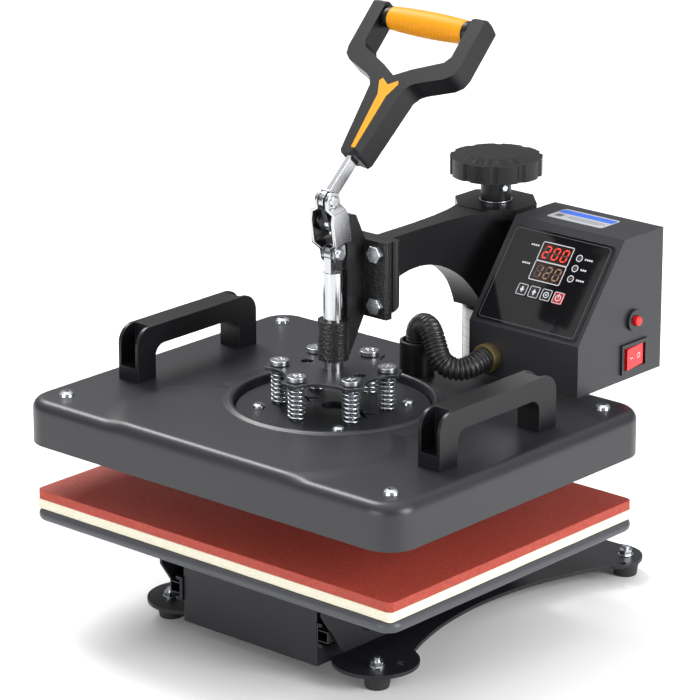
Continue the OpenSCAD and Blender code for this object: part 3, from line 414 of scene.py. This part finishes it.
# ---- Drawer slides and bed brackets ----
# Two stock three-part ball slides, blackened, carry the bed; each inner rail is screwed to a folded
# bracket under the tray.
slide_steel = bare_metal("slide_steel", (0.05, 0.05, 0.055), 0.36, (1.0, 14.0, 1.0))
softened("slide_outer_rails", slide_steel, "slide_steel", 0.0002)
softened("slide_middle_rails", slide_steel, "slide_steel", 0.0002)
softened("slide_inner_rails", slide_steel, "slide_steel", 0.0002)
softened("bed_brackets", chassis_black, "black_steel", 0.0004)
softened("bed_screws", bright_zinc, "zinc", 0.0002)

# ---- Bed tray and pads ----
# Pressed tray with a rolled rim in grey powder coat. A cream silicone foam pad lies in it, and a
# brick-red silicone sheet on that; both are cut by knife and the sheet's face is finely pebbled.
tray_grey = painted("tray_grey", (0.05, 0.052, 0.06), (0.13, 0.135, 0.15), 0.4, 1100.0, 0.00003, 0.5)
softened("bed_tray", tray_grey, "tray_grey", 0.0003)


def cut_pad(name, node, corner, edge, wave, finish, seed):
    """A knife-cut slab: rounded corners, slightly rolled edges and a wavering cut face."""
    low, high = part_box(node)
    centre = (low + high) / 2
    half = (high - low) / 2
    outline = []
    for sx, sy, turn in corner_turns(8):
        outline.append((sx * (half.x - corner) + corner * math.cos(turn),
                        sy * (half.y - corner) + corner * math.sin(turn)))
    line = []
    for (ax, ay), (bx, by) in zip(outline, outline[1:] + outline[:1]):
        count = max(1, round(math.dist((ax, ay), (bx, by)) / 0.004))
        for k in range(count):
            line.append((ax + (bx - ax) * k / count, ay + (by - ay) * k / count))
    profile = []
    for k in range(5):
        turn = math.radians(-90 + 90 * k / 4)
        profile.append((edge * (1 - math.cos(turn)), -half.z + edge + edge * math.sin(turn)))
    for k in range(1, 6):
        profile.append((0.0, -half.z + edge + (2 * half.z - 2 * edge) * k / 6))
    for k in range(5):
        turn = math.radians(90 * k / 4)
        profile.append((edge * (1 - math.cos(turn)), half.z - edge + edge * math.sin(turn)))
    rng = np.random.default_rng(seed)
    phases = rng.uniform(0, math.tau, 8)
    points = []
    count = len(line)
    for depth, z in profile:
        for k, (x, y) in enumerate(line):
            run = math.tau * k / count
            waver = sum(math.sin((3 + 5 * j) * run + phases[j]) for j in range(8)) * wave / 8
            pull = 1 - (depth + wave - waver) / math.hypot(x, y)
            points.append((centre.x + x * pull, centre.y + y * pull, centre.z + z))
    faces = []
    rows = len(profile)
    for r in range(rows - 1):
        faces += band(r * count, (r + 1) * count, count)
    for r, z in ((0, -half.z), (rows - 1, half.z)):
        ring = r * count
        for share in (0.97, 0.9, 0.6, 0.3):
            start = len(points)
            for k in range(count):
                px, py, pz = points[r * count + k]
                points.append((centre.x + (px - centre.x) * share, centre.y + (py - centre.y) * share,
                               centre.z + z))
            faces += band(ring, start, count)
            ring = start
        faces.append(tuple(ring + k for k in range(count)))
    pad = new_piece(name, points, faces, finish)
    weighted(pad, 60)
    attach(pad, "bed")
    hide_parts(node)
    return pad


foam_white, foam_shader, foam_spot = new_finish("foam_white")
foam_cells = foam_spot.node("TexVoronoi", None, 0, Vector=foam_spot, Scale=900.0)
foam_shade = foam_cells.ramp((0.0, 0.0), (0.5, 1.0))
plug(foam_shader["Base Color"], foam_shade.mix((0.52, 0.47, 0.35), (0.74, 0.69, 0.55)))
plug(foam_shader["Roughness"], foam_spot.noise(80.0) * 0.1 + 0.72)
plug(foam_shader["Normal"], foam_cells.bump(0.5, 0.00025))
plug(foam_shader["Subsurface Weight"], 0.05)
foam = cut_pad("foam_pad_cut", "foam_pad", 0.003, 0.0006, 0.0004, foam_white, 4)

silicone_red, silicone_shader, silicone_spot = new_finish("silicone_red")
silicone_cells = silicone_spot.node("TexVoronoi", None, 0, Vector=silicone_spot, Scale=1500.0)
silicone_cloud = silicone_spot.noise(9.0, 4.0)
silicone_shade = silicone_spot.noise(420.0, 3.0).ramp((0.3, 0.0), (0.75, 1.0))
plug(silicone_shader["Base Color"], silicone_shade.mix((0.28, 0.027, 0.014), (0.42, 0.052, 0.028)))
plug(silicone_shader["Roughness"], silicone_cloud * 0.14 + 0.52)
plug(silicone_shader["Normal"], silicone_cells.bump(0.35, 0.00012))
silicone = cut_pad("silicone_sheet", "silicone_pad", 0.006, 0.0008, 0.0005, silicone_red, 7)

# ---- Swing arm ----
# Cast and machined arm, painted satin black, with its bronze bush; a black-crackle casting bolted to
# its front guides the plunger.
arm_paint = painted("arm_paint", (0.007, 0.0073, 0.0085), (0.06, 0.062, 0.07), 0.38, 600.0, 0.00004, 0.4)
softened("swing_arm", arm_paint, "post_black", 0.0012, 3)
crackle_black, crackle_shader, crackle_spot = new_finish("crackle_black")
crackle = crackle_spot.node("TexVoronoi", {"feature": "SMOOTH_F1"}, 0, Vector=crackle_spot, Scale=620.0)
crackle_fine = crackle_spot.noise(1500.0, 2.0)
plug(crackle_shader["Base Color"], crackle.mix((0.007, 0.007, 0.0075), (0.0025, 0.0025, 0.003)))
plug(crackle_shader["Roughness"], crackle_fine * 0.15 + 0.24)
plug(crackle_shader["Normal"], (crackle + crackle_fine * 0.3).bump(0.9, 0.0005))
softened("guide_bracket", crackle_black, "cast_black", 0.0009, 3)
softened("bracket_bolts", bright_zinc, "zinc", 0.0004)
softened("lever_pivot_pin", bright_zinc, "zinc", 0.0003)
bush_bronze = bare_metal("bush_bronze", (0.62, 0.42, 0.2), 0.4)
softened("collar_bush", bush_bronze, "bronze", 0.0)

# ---- Pressure knob ----
# Lobed phenolic knob on the pressure screw, held by a set screw; a zinc washer sits under its hub.
knob_black = moulded("knob_black", (0.007, 0.0073, 0.0085), 0.34, 800.0, 0.00003, (0.02, 0.021, 0.024), 0.3)
softened("pressure_knob", knob_black, "knob_black", 0.0016, 4)
softened("knob_hardware", bright_zinc, "zinc", 0.0003)
softened("pressure_screw", bright_zinc, "zinc", 0.0)

# ---- Toggle ----
# Chromed lever bar and plunger with two stamped, polished link plates; rivets are zinc.
bright_chrome = bare_metal("bright_chrome", (0.56, 0.57, 0.59), 0.15, (1.0, 1.0, 0.15), 0.00001, 0.06)
softened("lever_bar", bright_chrome, "chrome", 0.0006, 3)
softened("link_plates", bright_chrome, "chrome", 0.0006, 3)
softened("link_rivets", bright_zinc, "zinc", 0.0006, 3)
softened("plunger_shaft", bright_chrome, "chrome", 0.0006)

# ---- Lever handle ----
# Two-shell black nylon D-handle with a yellow insert and a yellow rubber grip between its posts.
handle_black = moulded("handle_black", (0.0045, 0.0048, 0.006), 0.38, 1300.0, 0.00004, (0.02, 0.021, 0.025), 0.32)
softened("handle_shell", handle_black, "handle_black", 0.0028, 4)
grip_yellow = moulded("grip_yellow", (0.8, 0.31, 0.003), 0.5, 1100.0, 0.00005, (0.85, 0.36, 0.006), 0.25)
softened("handle_inlay", grip_yellow, "grip_yellow", 0.0004)
grip_low, grip_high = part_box("grip_sleeve")
grip_middle = (grip_low + grip_high) / 2
grip_radius = (grip_high.z - grip_low.z) / 2
grip_reach = grip_high.x


def turned(name, profile, sides, centre, finish, rib=None):
    """A piece turned about an axis along X; rib(x, turn) gives the height of ribs on its skin."""
    points = []
    faces = []
    for x, radius in profile:
        for k in range(sides):
            turn = math.tau * k / sides
            r = radius + (rib(x, turn) if rib else 0.0)
            points.append((centre.x + x, centre.y + r * math.cos(turn), centre.z + r * math.sin(turn)))
    for i in range(len(profile) - 1):
        faces += band(i * sides, (i + 1) * sides, sides)
    faces.append(tuple(range(sides)))
    faces.append(tuple((len(profile) - 1) * sides + k for k in range(sides)))
    return new_piece(name, points, faces, finish)


def finger_rib(x, turn):
    """Short ribs in a band along the front of the grip, 3.4 mm apart."""
    band = max(0.0, 1 - abs(math.degrees(turn) - 205) / 38)
    inside = max(0.0, min(1.0, (0.029 - abs(x)) / 0.002))
    wave = 0.5 + 0.5 * math.cos(math.tau * x / 0.0034)
    return -0.0008 * min(1.0, 4 * band) * inside * wave ** 2


sleeve_end = grip_reach - 0.009
sleeve_profile = [(-sleeve_end, 0.0075), (-sleeve_end, 0.0088), (0.0006 - sleeve_end, 0.0093)]
for i in range(161):
    x = (0.0014 - sleeve_end) + (2 * sleeve_end - 0.0028) * i / 160
    sleeve_profile.append((x, grip_radius - 0.0014 * (x / sleeve_end) ** 2))
sleeve_profile += [(sleeve_end - 0.0006, 0.0093), (sleeve_end, 0.0088), (sleeve_end, 0.0075)]
grip = turned("grip_ribbed", sleeve_profile, 72, grip_middle, grip_yellow, finger_rib)
weighted(grip, 50)
core_profile = [(sleeve_end - 0.0005, 0.0079), (sleeve_end - 0.0005, 0.0092), (sleeve_end + 0.0003, 0.0096),
                (sleeve_end + 0.003, 0.0093), (sleeve_end + 0.006, 0.0085), (grip_reach - 0.001, 0.0072),
                (grip_reach, 0.0066)]
core_profile = [(-x, r) for x, r in reversed(core_profile)] + core_profile
core = turned("grip_core", core_profile, 48, grip_middle, handle_black)
weighted(core, 40)
for piece, slot in ((grip, "grip_yellow"), (core, "handle_black")):
    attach(piece, "lever")
    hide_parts("grip_sleeve")

# ---- Press plate, springs and bolts ----
# Laser-cut lobed plate in the cover's paint; six zinc bolts pass it, each in a compression spring.
cover_paint = painted("cover_paint", (0.015, 0.0156, 0.0195), (0.06, 0.062, 0.07), 0.38, 900.0, 0.00003, 0.5)
softened("press_plate", cover_paint, "cover_grey", 0.0005)
softened("spring_disc", chassis_black, "black_steel", 0.0004)
softened("levelling_bolts", bright_zinc, "zinc", 0.0005, 3)
softened("platen_screws", bright_zinc, "zinc", 0.0003)


def grown(name, build, values, finish):
    """A piece made by Geometry Nodes: build() draws the tree, values are its named inputs."""
    tree = bpy.data.node_groups.new(name, "GeometryNodeTree")
    tree.interface.new_socket("Geometry", in_out="OUTPUT", socket_type="NodeSocketGeometry")
    for label, value in values.items():
        kind = "NodeSocketInt" if isinstance(value, int) else "NodeSocketFloat"
        tree.interface.new_socket(label, in_out="INPUT", socket_type=kind)
    start = tree.nodes.new("NodeGroupInput")
    end = tree.nodes.new("NodeGroupOutput")

    def add(kind, settings=None, output=0, **inputs):
        made = tree.nodes.new(kind)
        for label, value in (settings or {}).items():
            setattr(made, label, value)
        for label, value in inputs.items():
            target = made.inputs[label.replace("_", " ")]
            if isinstance(value, bpy.types.NodeSocket):
                tree.links.new(value, target)
            else:
                target.default_value = value
        return made.outputs[output]

    shape = build(add, start.outputs)
    solid = add("GeometryNodeRealizeInstances", None, 0, Geometry=shape)
    dressed = add("GeometryNodeSetMaterial", None, 0, Geometry=solid, Material=finish)
    tree.links.new(dressed, end.inputs[0])
    host = bpy.data.objects.new(name, bpy.data.meshes.new(name))
    stage_scene.collection.objects.link(host)
    modifier = host.modifiers.new("grow", "NODES")
    modifier.node_group = tree
    for item in tree.interface.items_tree:
        if item.in_out == "INPUT":
            modifier[item.identifier] = values[item.name]
    result = bpy.data.meshes.new_from_object(host.evaluated_get(bpy.context.evaluated_depsgraph_get()))
    host.modifiers.clear()
    host.data = result
    return host


spring_low, spring_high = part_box("springs")
spring_wire = 0.0011


def coil_springs(add, inputs):
    """Six upright coils on a circle about the press axis."""
    spiral = add("GeometryNodeCurveSpiral", None, 0, Resolution=28, Rotations=inputs["Turns"],
                 Start_Radius=inputs["Coil radius"], End_Radius=inputs["Coil radius"], Height=inputs["Height"])
    wire = add("GeometryNodeCurvePrimitiveCircle", None, 0, Resolution=10, Radius=inputs["Wire radius"])
    coil = add("GeometryNodeCurveToMesh", None, 0, Curve=spiral, Profile_Curve=wire, Fill_Caps=True)
    ring = add("GeometryNodeMeshCircle", None, 0, Vertices=6, Radius=inputs["Circle radius"])
    lifted = add("GeometryNodeTransform", None, 0, Geometry=ring,
                 Translation=(0, axis_y, spring_low.z + spring_wire), Rotation=(0, 0, math.radians(30)))
    return add("GeometryNodeInstanceOnPoints", None, 0, Points=lifted, Instance=coil)


springs = grown("coil_springs", coil_springs, {
    "Turns": 7.0, "Coil radius": 0.0063, "Wire radius": spring_wire, "Circle radius": 0.044,
    "Height": spring_high.z - spring_low.z - 2 * spring_wire}, bright_zinc)
springs.data.shade_smooth()
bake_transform(springs)
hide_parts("springs")

# ---- Platen cover ----
# Deep-drawn steel pan, satin charcoal powder coat. A shallow raised field runs from the round pan in
# its middle to the front edge, and the pan has a soft raised lip.
cover_low, cover_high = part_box("platen_cover")
cover_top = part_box("carry_handles")[0].z
cover_half_x = (cover_high.x - cover_low.x) / 2
cover_half_y = (cover_high.y - cover_low.y) / 2
cover_corner = 0.026
cover_edge = 0.009
cover_wall = 0.002
pan_radius = 0.080
pan_floor = cover_top - 0.007
pan_lip = 0.0075
field_height = 0.0022
field_slope = 0.014


def field(x, y):
    """Height of the raised field over the cover's flat at a place given from the press axis."""
    lobe_x = np.maximum(np.abs(x) - 0.055, 0.0)
    lobes = np.hypot(lobe_x, y + 0.092) - 0.064
    apron = np.maximum(np.abs(x) - 0.086, y + 0.10)
    middle = np.hypot(x, y) - 0.088
    away = np.minimum(np.minimum(lobes, apron), middle)
    slope = np.clip(1 - away / field_slope, 0.0, 1.0)
    soft = 0.14
    foot = slope * slope / (2 * soft)
    brow = 1 - soft - (1 - slope) ** 2 / (2 * soft)
    bank = np.where(slope < soft, foot, np.where(slope > 1 - soft, brow, slope - soft / 2))
    return field_height * bank / (1 - soft)


cover_outline = []
for sx, sy, turn in corner_turns(24):
    cover_outline.append((sx * (cover_half_x - cover_corner), sy * (cover_half_y - cover_corner), turn))
outline = []
for (ax, ay, at), (bx, by, bt) in zip(cover_outline, cover_outline[1:] + cover_outline[:1]):
    count = max(1, round(math.dist((ax, ay), (bx, by)) / 0.004))
    for k in range(count):
        outline.append((ax + (bx - ax) * k / count, ay + (by - ay) * k / count, at))
outline = np.array(outline)
outward = np.stack([np.cos(outline[:, 2]), np.sin(outline[:, 2])], 1)


def cover_ring(inset):
    """The cover's outline drawn in by an inset of up to the corner's radius."""
    return outline[:, :2] + outward * (cover_corner - inset)


cover_rings = []
skirt_low = cover_low.z
for z in np.linspace(skirt_low, cover_top - cover_edge, 9):
    flat = cover_ring(0.0)
    cover_rings.append(np.column_stack([flat, np.full(len(flat), z)]))
for k in range(1, 9):
    turn = math.radians(90 * k / 8)
    flat = cover_ring(cover_edge * (1 - math.cos(turn)))
    rise = field(flat[:, 0], flat[:, 1]) * math.sin(turn)
    cover_rings.append(np.column_stack([flat, cover_top - cover_edge + cover_edge * math.sin(turn) + rise]))
inner_flat = cover_ring(cover_edge)
angle = np.arctan2(inner_flat[:, 1], inner_flat[:, 0])
lip = np.stack([np.cos(angle), np.sin(angle)], 1)
for share in np.linspace(0.02, 1.0, 64):
    share = share ** 0.9
    flat = inner_flat * (1 - share) + lip * (pan_radius + pan_lip) * share
    cover_rings.append(np.column_stack([flat, cover_top + field(flat[:, 0], flat[:, 1])]))
for out, rise in ((0.0068, 0.0003), (0.006, 0.0008), (0.005, 0.0013), (0.004, 0.0016), (0.003, 0.0016),
                  (0.002, 0.0013), (0.0011, 0.0007), (0.0004, -0.0004), (0.0, -0.0018)):
    lip_z = np.full(len(lip), cover_top + field_height + rise)
    cover_rings.append(np.column_stack([lip * (pan_radius + out), lip_z]))
pan_under = pan_floor - cover_wall
pan_outside = pan_radius + cover_wall
for radius, z in ((pan_radius, pan_floor + 0.0008), (pan_radius - 0.0008, pan_floor), (0.05, pan_floor),
                  (0.02, pan_floor), (0.0, pan_floor), (0.0, pan_under), (0.05, pan_under),
                  (pan_outside, pan_under), (pan_outside, cover_top - cover_wall)):
    cover_rings.append(np.column_stack([lip * radius, np.full(len(lip), z)]))
roof = cover_ring(cover_edge)
cover_rings.append(np.column_stack([roof, np.full(len(roof), cover_top - cover_wall)]))
for inset, z in ((cover_wall + 0.002, cover_top - cover_wall - 0.0035), (cover_wall, cover_top - cover_edge),
                 (cover_wall, skirt_low)):
    flat = cover_ring(inset)
    cover_rings.append(np.column_stack([flat, np.full(len(flat), z)]))
around = len(outline)
cover_points = np.concatenate(cover_rings)
cover_points[:, 1] += axis_y
cover_faces = []
for r in range(len(cover_rings)):
    cover_faces += band(r * around, ((r + 1) % len(cover_rings)) * around, around)
cover = new_piece("platen_cover_drawn", cover_points, cover_faces, cover_paint)
bm = bmesh.new()
bm.from_mesh(cover.data)
bmesh.ops.remove_doubles(bm, verts=bm.verts, dist=1e-6)
bmesh.ops.dissolve_degenerate(bm, edges=bm.edges, dist=1e-7)
bmesh.ops.recalc_face_normals(bm, faces=bm.faces)
bm.to_mesh(cover.data)
bm.free()
cover.data.set_sharp_from_angle(angle=math.radians(50))
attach(cover, "platen")
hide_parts("platen_cover")

# ---- Carry handles, heater and hose boss ----
# Black nylon handles with open corner pockets for their screws; a cast aluminium heat plate with its
# sheathed element and a mineral-wool blanket fill the cover.
softened("carry_handles", handle_black, "plastic_black", 0.0009, 3)
softened("hose_boss", handle_black, "plastic_black", 0.001, 3)
cast_aluminium = bare_metal("cast_aluminium", (0.62, 0.62, 0.63), 0.34, (1.0, 12.0, 1.0), 0.00003)
softened("heat_plate", cast_aluminium, "cast_aluminium", 0.001, 2)
softened("heating_element", bare_metal("element_steel", (0.42, 0.4, 0.38), 0.4), "element_steel", 0.0)
blanket, blanket_shader, blanket_spot = new_finish("blanket")
fibres = blanket_spot.node("Mapping", None, 0, Vector=blanket_spot, Scale=(1.0, 6.0, 3.0)).noise(260.0, 5.0)
plug(blanket_shader["Base Color"], fibres.mix((0.55, 0.5, 0.38), (0.85, 0.82, 0.72)))
plug(blanket_shader["Roughness"], fibres * 0.1 + 0.85)
plug(blanket_shader["Normal"], fibres.bump(0.8, 0.0008))
softened("insulation", blanket, "blanket", 0.0)

# ---- Control box ----
# Folded sheet-steel box, charcoal fine-texture powder coat, with a screwed-on back cover. A gloss
# black polyester overlay with printed frames lies on the sloping front; the digits are lit.
box_paint = painted("box_paint", (0.016, 0.0167, 0.021), (0.1, 0.104, 0.115), 0.4, 1300.0, 0.00002, 0.5)
softened("control_box_shell", box_paint, "box_grey", 0.0013, 4)
softened("box_back_cover", box_paint, "box_grey", 0.0005)
softened("box_screws", bright_zinc, "zinc", 0.0002)
overlay_black, overlay_shader, overlay_spot = new_finish("overlay_black")
plug(overlay_shader["Base Color"], overlay_spot.noise(30.0).mix((0.004, 0.004, 0.005), (0.007, 0.007, 0.008)))
plug(overlay_shader["Roughness"], overlay_spot.noise(160.0) * 0.04 + 0.05)
softened("control_overlay", overlay_black, "overlay_black", 0.0002)
display_dark, display_shader, display_spot = new_finish("display_dark")
plug(display_shader["Base Color"], display_spot.noise(90.0).mix((0.02, 0.007, 0.006), (0.035, 0.012, 0.01)))
plug(display_shader["Roughness"], display_spot.noise(300.0) * 0.05 + 0.12)
softened("display_modules", display_dark, "display_red", 0.0)
softened("circuit_board", moulded("board_green", (0.02, 0.12, 0.04), 0.4), "board_green", 0.0)
softened("relay_block", moulded("relay_blue", (0.03, 0.09, 0.25), 0.35), "relay_blue", 0.0004)
box_plastic = moulded("box_plastic", (0.014, 0.014, 0.015), 0.34, 1000.0, 0.00003)
softened("power_inlet", box_plastic, "plastic_black", 0.0006)
softened("breaker_body", box_plastic, "plastic_black", 0.0005)
softened("switch_bezel", box_plastic, "plastic_black", 0.0005)
softened("hose_gland", bare_metal("gland_brass", (0.34, 0.27, 0.13), 0.45), "gland_brass", 0.0006)
switch_red = moulded("switch_red", (0.72, 0.006, 0.01), 0.2, 600.0, 0.00001, (0.85, 0.03, 0.03))
softened("rocker", switch_red, "switch_red", 0.0006, 3)
softened("reset_button", switch_red, "switch_red", 0.0006, 3)
key_black = moulded("key_black", (0.02, 0.02, 0.023), 0.2, 900.0, 0.00001)
key_red = moulded("key_red", (0.42, 0.025, 0.03), 0.22, 900.0, 0.00001)
for number, finish in ((1, key_black), (2, key_black), (3, key_black), (4, key_red)):
    softened(f"key_{number}", finish, "switch_red" if number == 4 else "overlay_black", 0.0003)

# ---- Printing on the control box ----
# White and grey ink on the overlay, lit digits behind it, marks on the keys and the rocker, and a blank
# two-colour sticker on the box. Each mark is a film under 0.2 mm thick.
ink_white = moulded("ink_white", (0.62, 0.63, 0.66), 0.35, 900.0, 0.00001, (0.62, 0.63, 0.66))
ink_grey = moulded("ink_grey", (0.11, 0.115, 0.125), 0.3, 900.0, 0.00001, (0.11, 0.115, 0.125))


def round_loop(x, v, width, height, corner, steps=5):
    """A rectangle with rounded corners, in millimetres on a face."""
    return [(x + sx * (width / 2 - corner) + corner * math.cos(turn),
             v + sy * (height / 2 - corner) + corner * math.sin(turn)) for sx, sy, turn in corner_turns(steps)]


def frame_shape(x, v, width, height, corner, line):
    """The outer and inner outline of a rounded frame of one line's width."""
    return [round_loop(x, v, width, height, corner),
            round_loop(x, v, width - 2 * line, height - 2 * line, max(corner - line, 0.1))]


def printed(name, shapes, origin, right, up, node, finish, slot, body, film=0.00008):
    """Thin shapes laid on a node's face: each is one outline in millimetres, or an outer and an inner one."""
    skin_mesh = frame["nodes"][node].data
    skin = BVHTree.FromPolygons([v.co for v in skin_mesh.vertices], [f.vertices for f in skin_mesh.polygons])
    origin, right, up = Vector(origin), Vector(right), Vector(up)
    out = right.cross(up)
    points = []
    faces = []

    def laid(loop, level):
        first = len(points)
        for x, v in loop:
            over = origin + right * (x / 1000) + up * (v / 1000) + out * 0.03
            spot = skin.ray_cast(over, -out, 0.06)[0] or over - out * 0.03
            points.append(spot + out * level)
        return first

    for shape in shapes:
        ring = isinstance(shape[0], list)
        loops = [laid(loop, level) for loop in (shape if ring else [shape]) for level in (-0.00002, film)]
        count = len(shape[0]) if ring else len(shape)
        rows = [loops[0], loops[1], loops[3], loops[2]] if ring else loops
        for a, b in zip(rows, rows[1:] + (rows[:1] if ring else [])):
            faces += band(a, b, count)
        if not ring:
            faces.append(tuple(rows[0] + k for k in range(count)))
            faces.append(tuple(rows[1] + k for k in range(count)))
    piece = new_piece(name, points, faces, finish)
    piece.data.set_sharp_from_angle(angle=math.radians(30))
    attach(piece, body)
    return piece


panel = ((0, 0.06625, 0.241), (1, 0, 0), (0, 0.61, 0.7924))
display_x, display_w, display_h = 81.5, 30.0, 15.5
displays = (46.0, 63.0)
lamps = (53.5, 62.8, 72.0)
lamp_x = 120.3
key_v = 35.3
panel_frames = []
for v in displays:
    middle_x, middle_v = display_x + display_w / 2, v + display_h / 2
    panel_frames.append(frame_shape(middle_x, middle_v, display_w + 1.8, display_h + 1.8, 1.6, 0.7))
panel_frames += [frame_shape(lamp_x, v, 6.2, 6.2, 3.1, 0.75) for v in lamps]
for x, v, letters in ((125.8, 72.0, 4), (125.8, 62.8, 3), (125.8, 53.5, 4), (70.0, 74.5, 4), (68.5, 58.0, 4)):
    for k in range(letters):
        panel_frames.append(round_loop(x + 0.8 + 2.1 * k, v, 1.5, 1.5, 0.2, 1))
printed("overlay_print", panel_frames, *panel, "control_overlay", ink_white, "overlay_black", "arm")
printed("overlay_border", [frame_shape(97.8, 45.7, 97.5, 81.0, 3.0, 0.35)], *panel, "control_overlay", ink_grey,
        "overlay_black", "arm")

segment_lines = {"a": ((0, 1), (1, 1)), "b": ((1, 1), (1, 0)), "c": ((1, 0), (1, -1)), "d": ((0, -1), (1, -1)),
                 "e": ((0, 0), (0, -1)), "f": ((0, 1), (0, 0)), "g": ((0, 0), (1, 0))}
digit_segments = {"0": "abcdef", "1": "bc", "2": "abged"}


def segment_shape(x, v, name):
    """One bar of a seven-segment digit, pointed at its ends and leaning a little."""
    (ax, av), (bx, bv) = segment_lines[name]
    ax, bx = ax * 5.2, bx * 5.2
    av, bv = av * 5.0, bv * 5.0
    length = math.hypot(bx - ax, bv - av)
    dx, dv = (bx - ax) / length, (bv - av) / length
    near, far, half = 0.35, length - 0.35, 0.62
    bar = [(near, 0), (near + half, half), (far - half, half), (far, 0), (far - half, -half), (near + half, -half)]
    shape = []
    for along, across in bar:
        px, pv = ax + dx * along - dv * across, av + dv * along + dx * across
        shape.append((x + px + 0.12 * pv, v + pv))
    return shape


def glowing(name, colour, power):
    """A lit segment of a display."""
    made, shader, spot = new_finish(name)
    plug(shader["Base Color"], spot.noise(60.0).mix(shaded(colour, 0.3), shaded(colour, 0.4)))
    plug(shader["Emission Color"], spot.noise(200.0).mix(shaded(colour, 0.85), colour))
    plug(shader["Emission Strength"], power)
    plug(shader["Roughness"], 0.3)
    return made


digits_lit = glowing("digits_lit", (1.0, 0.07, 0.045), 1.0)
digits_dim = glowing("digits_dim", (0.42, 0.3, 0.2), 0.35)
digits_off = moulded("digits_off", (0.07, 0.06, 0.06), 0.3)
for name, v, number, finish in (("digits_upper", displays[1], "200", digits_lit),
                                ("digits_lower", displays[0], "120", digits_dim)):
    lit = []
    unlit = []
    for k, digit in enumerate(number):
        for segment in "abcdefg":
            shape = segment_shape(display_x + 3.2 + 9.2 * k, v + display_h / 2, segment)
            (lit if segment in digit_segments[digit] else unlit).append(shape)
    printed(name, lit, *panel, "display_modules", finish, "display_red", "arm")
    printed(name + "_off", unlit, *panel, "display_modules", digits_off, "display_red", "arm")
printed("lamp_dots", [round_loop(lamp_x, v, 3.0, 3.0, 1.5) for v in lamps], *panel, "display_modules", digits_off,
        "display_red", "arm")

key_centres = [80.0 + 12.3 * k for k in range(4)]
key_marks = [
    [[(-2.2, 0.6), (0.0, -2.6), (2.2, 0.6)], [(-0.8, 0.6), (0.8, 0.6), (0.8, 2.6), (-0.8, 2.6)]],
    [[(-2.2, -0.6), (2.2, -0.6), (0.0, 2.6)], [(-0.8, -2.6), (0.8, -2.6), (0.8, -0.6), (-0.8, -0.6)]],
    [[round_loop(0, 0, 5.4, 5.4, 2.7), round_loop(0, 0, 3.9, 3.9, 1.95)], round_loop(0, 0, 1.6, 1.6, 0.8)],
    [[round_loop(0, 0, 5.6, 5.6, 2.8), round_loop(0, 0, 4.2, 4.2, 2.1)],
     [(-0.4, -0.2), (0.4, -0.2), (0.4, 3.4), (-0.4, 3.4)]]]
for k, letter in enumerate("abcd"):
    shapes = [frame_shape(key_centres[k], key_v, 9.8, 9.8, 1.3, 0.5)]
    for mark in key_marks[k]:
        loops = mark if isinstance(mark[0], list) else [mark]
        moved = [[(key_centres[k] + x, key_v + v) for x, v in loop] for loop in loops]
        shapes.append(moved if len(moved) == 2 else moved[0])
    printed(f"key_print_{letter}", shapes, *panel, f"key_{k + 1}", ink_white, "overlay_black", f"key_{letter}")

rocker_face = ((0.154, 0.13925, 0.216), (0, 1, 0), (0, 0, 1))
rocker_marks = [[(-7.3, -0.35), (-3.7, -0.35), (-3.7, 0.35), (-7.3, 0.35)],
                frame_shape(5.2, 0, 4.6, 4.6, 2.3, 0.6)]
printed("rocker_print", rocker_marks, *rocker_face, "rocker", ink_white, "switch_red", "rocker")

sticker_white = moulded("sticker_white", (0.42, 0.43, 0.46), 0.3, 500.0, 0.00001, (0.42, 0.43, 0.46))
sticker_blue = moulded("sticker_blue", (0.028, 0.13, 0.62), 0.3, 500.0, 0.00001, (0.028, 0.13, 0.62))
box_roof = ((0, axis_y, 0.317), (1, 0, 0), (0, 1, 0))
printed("sticker", [round_loop(90.5, 206.0, 57.0, 27.0, 3.0)], *box_roof, "control_box_shell", sticker_white,
        "box_grey", "arm")
sticker_rules = [round_loop(96.5, 203.6 - 2.6 * k, (36, 40, 30)[k], 0.7, 0.2, 1) for k in range(3)]
sticker_rules.append(round_loop(69.5, 201.5, 7.0, 7.0, 1.0))
printed("sticker_rules", sticker_rules, *box_roof, "control_box_shell", ink_grey, "box_grey", "arm", 0.00014)
printed("sticker_band", [round_loop(90.5, 212.5, 55.0, 9.0, 1.8)], *box_roof, "control_box_shell", sticker_blue,
        "box_grey", "arm", 0.00014)
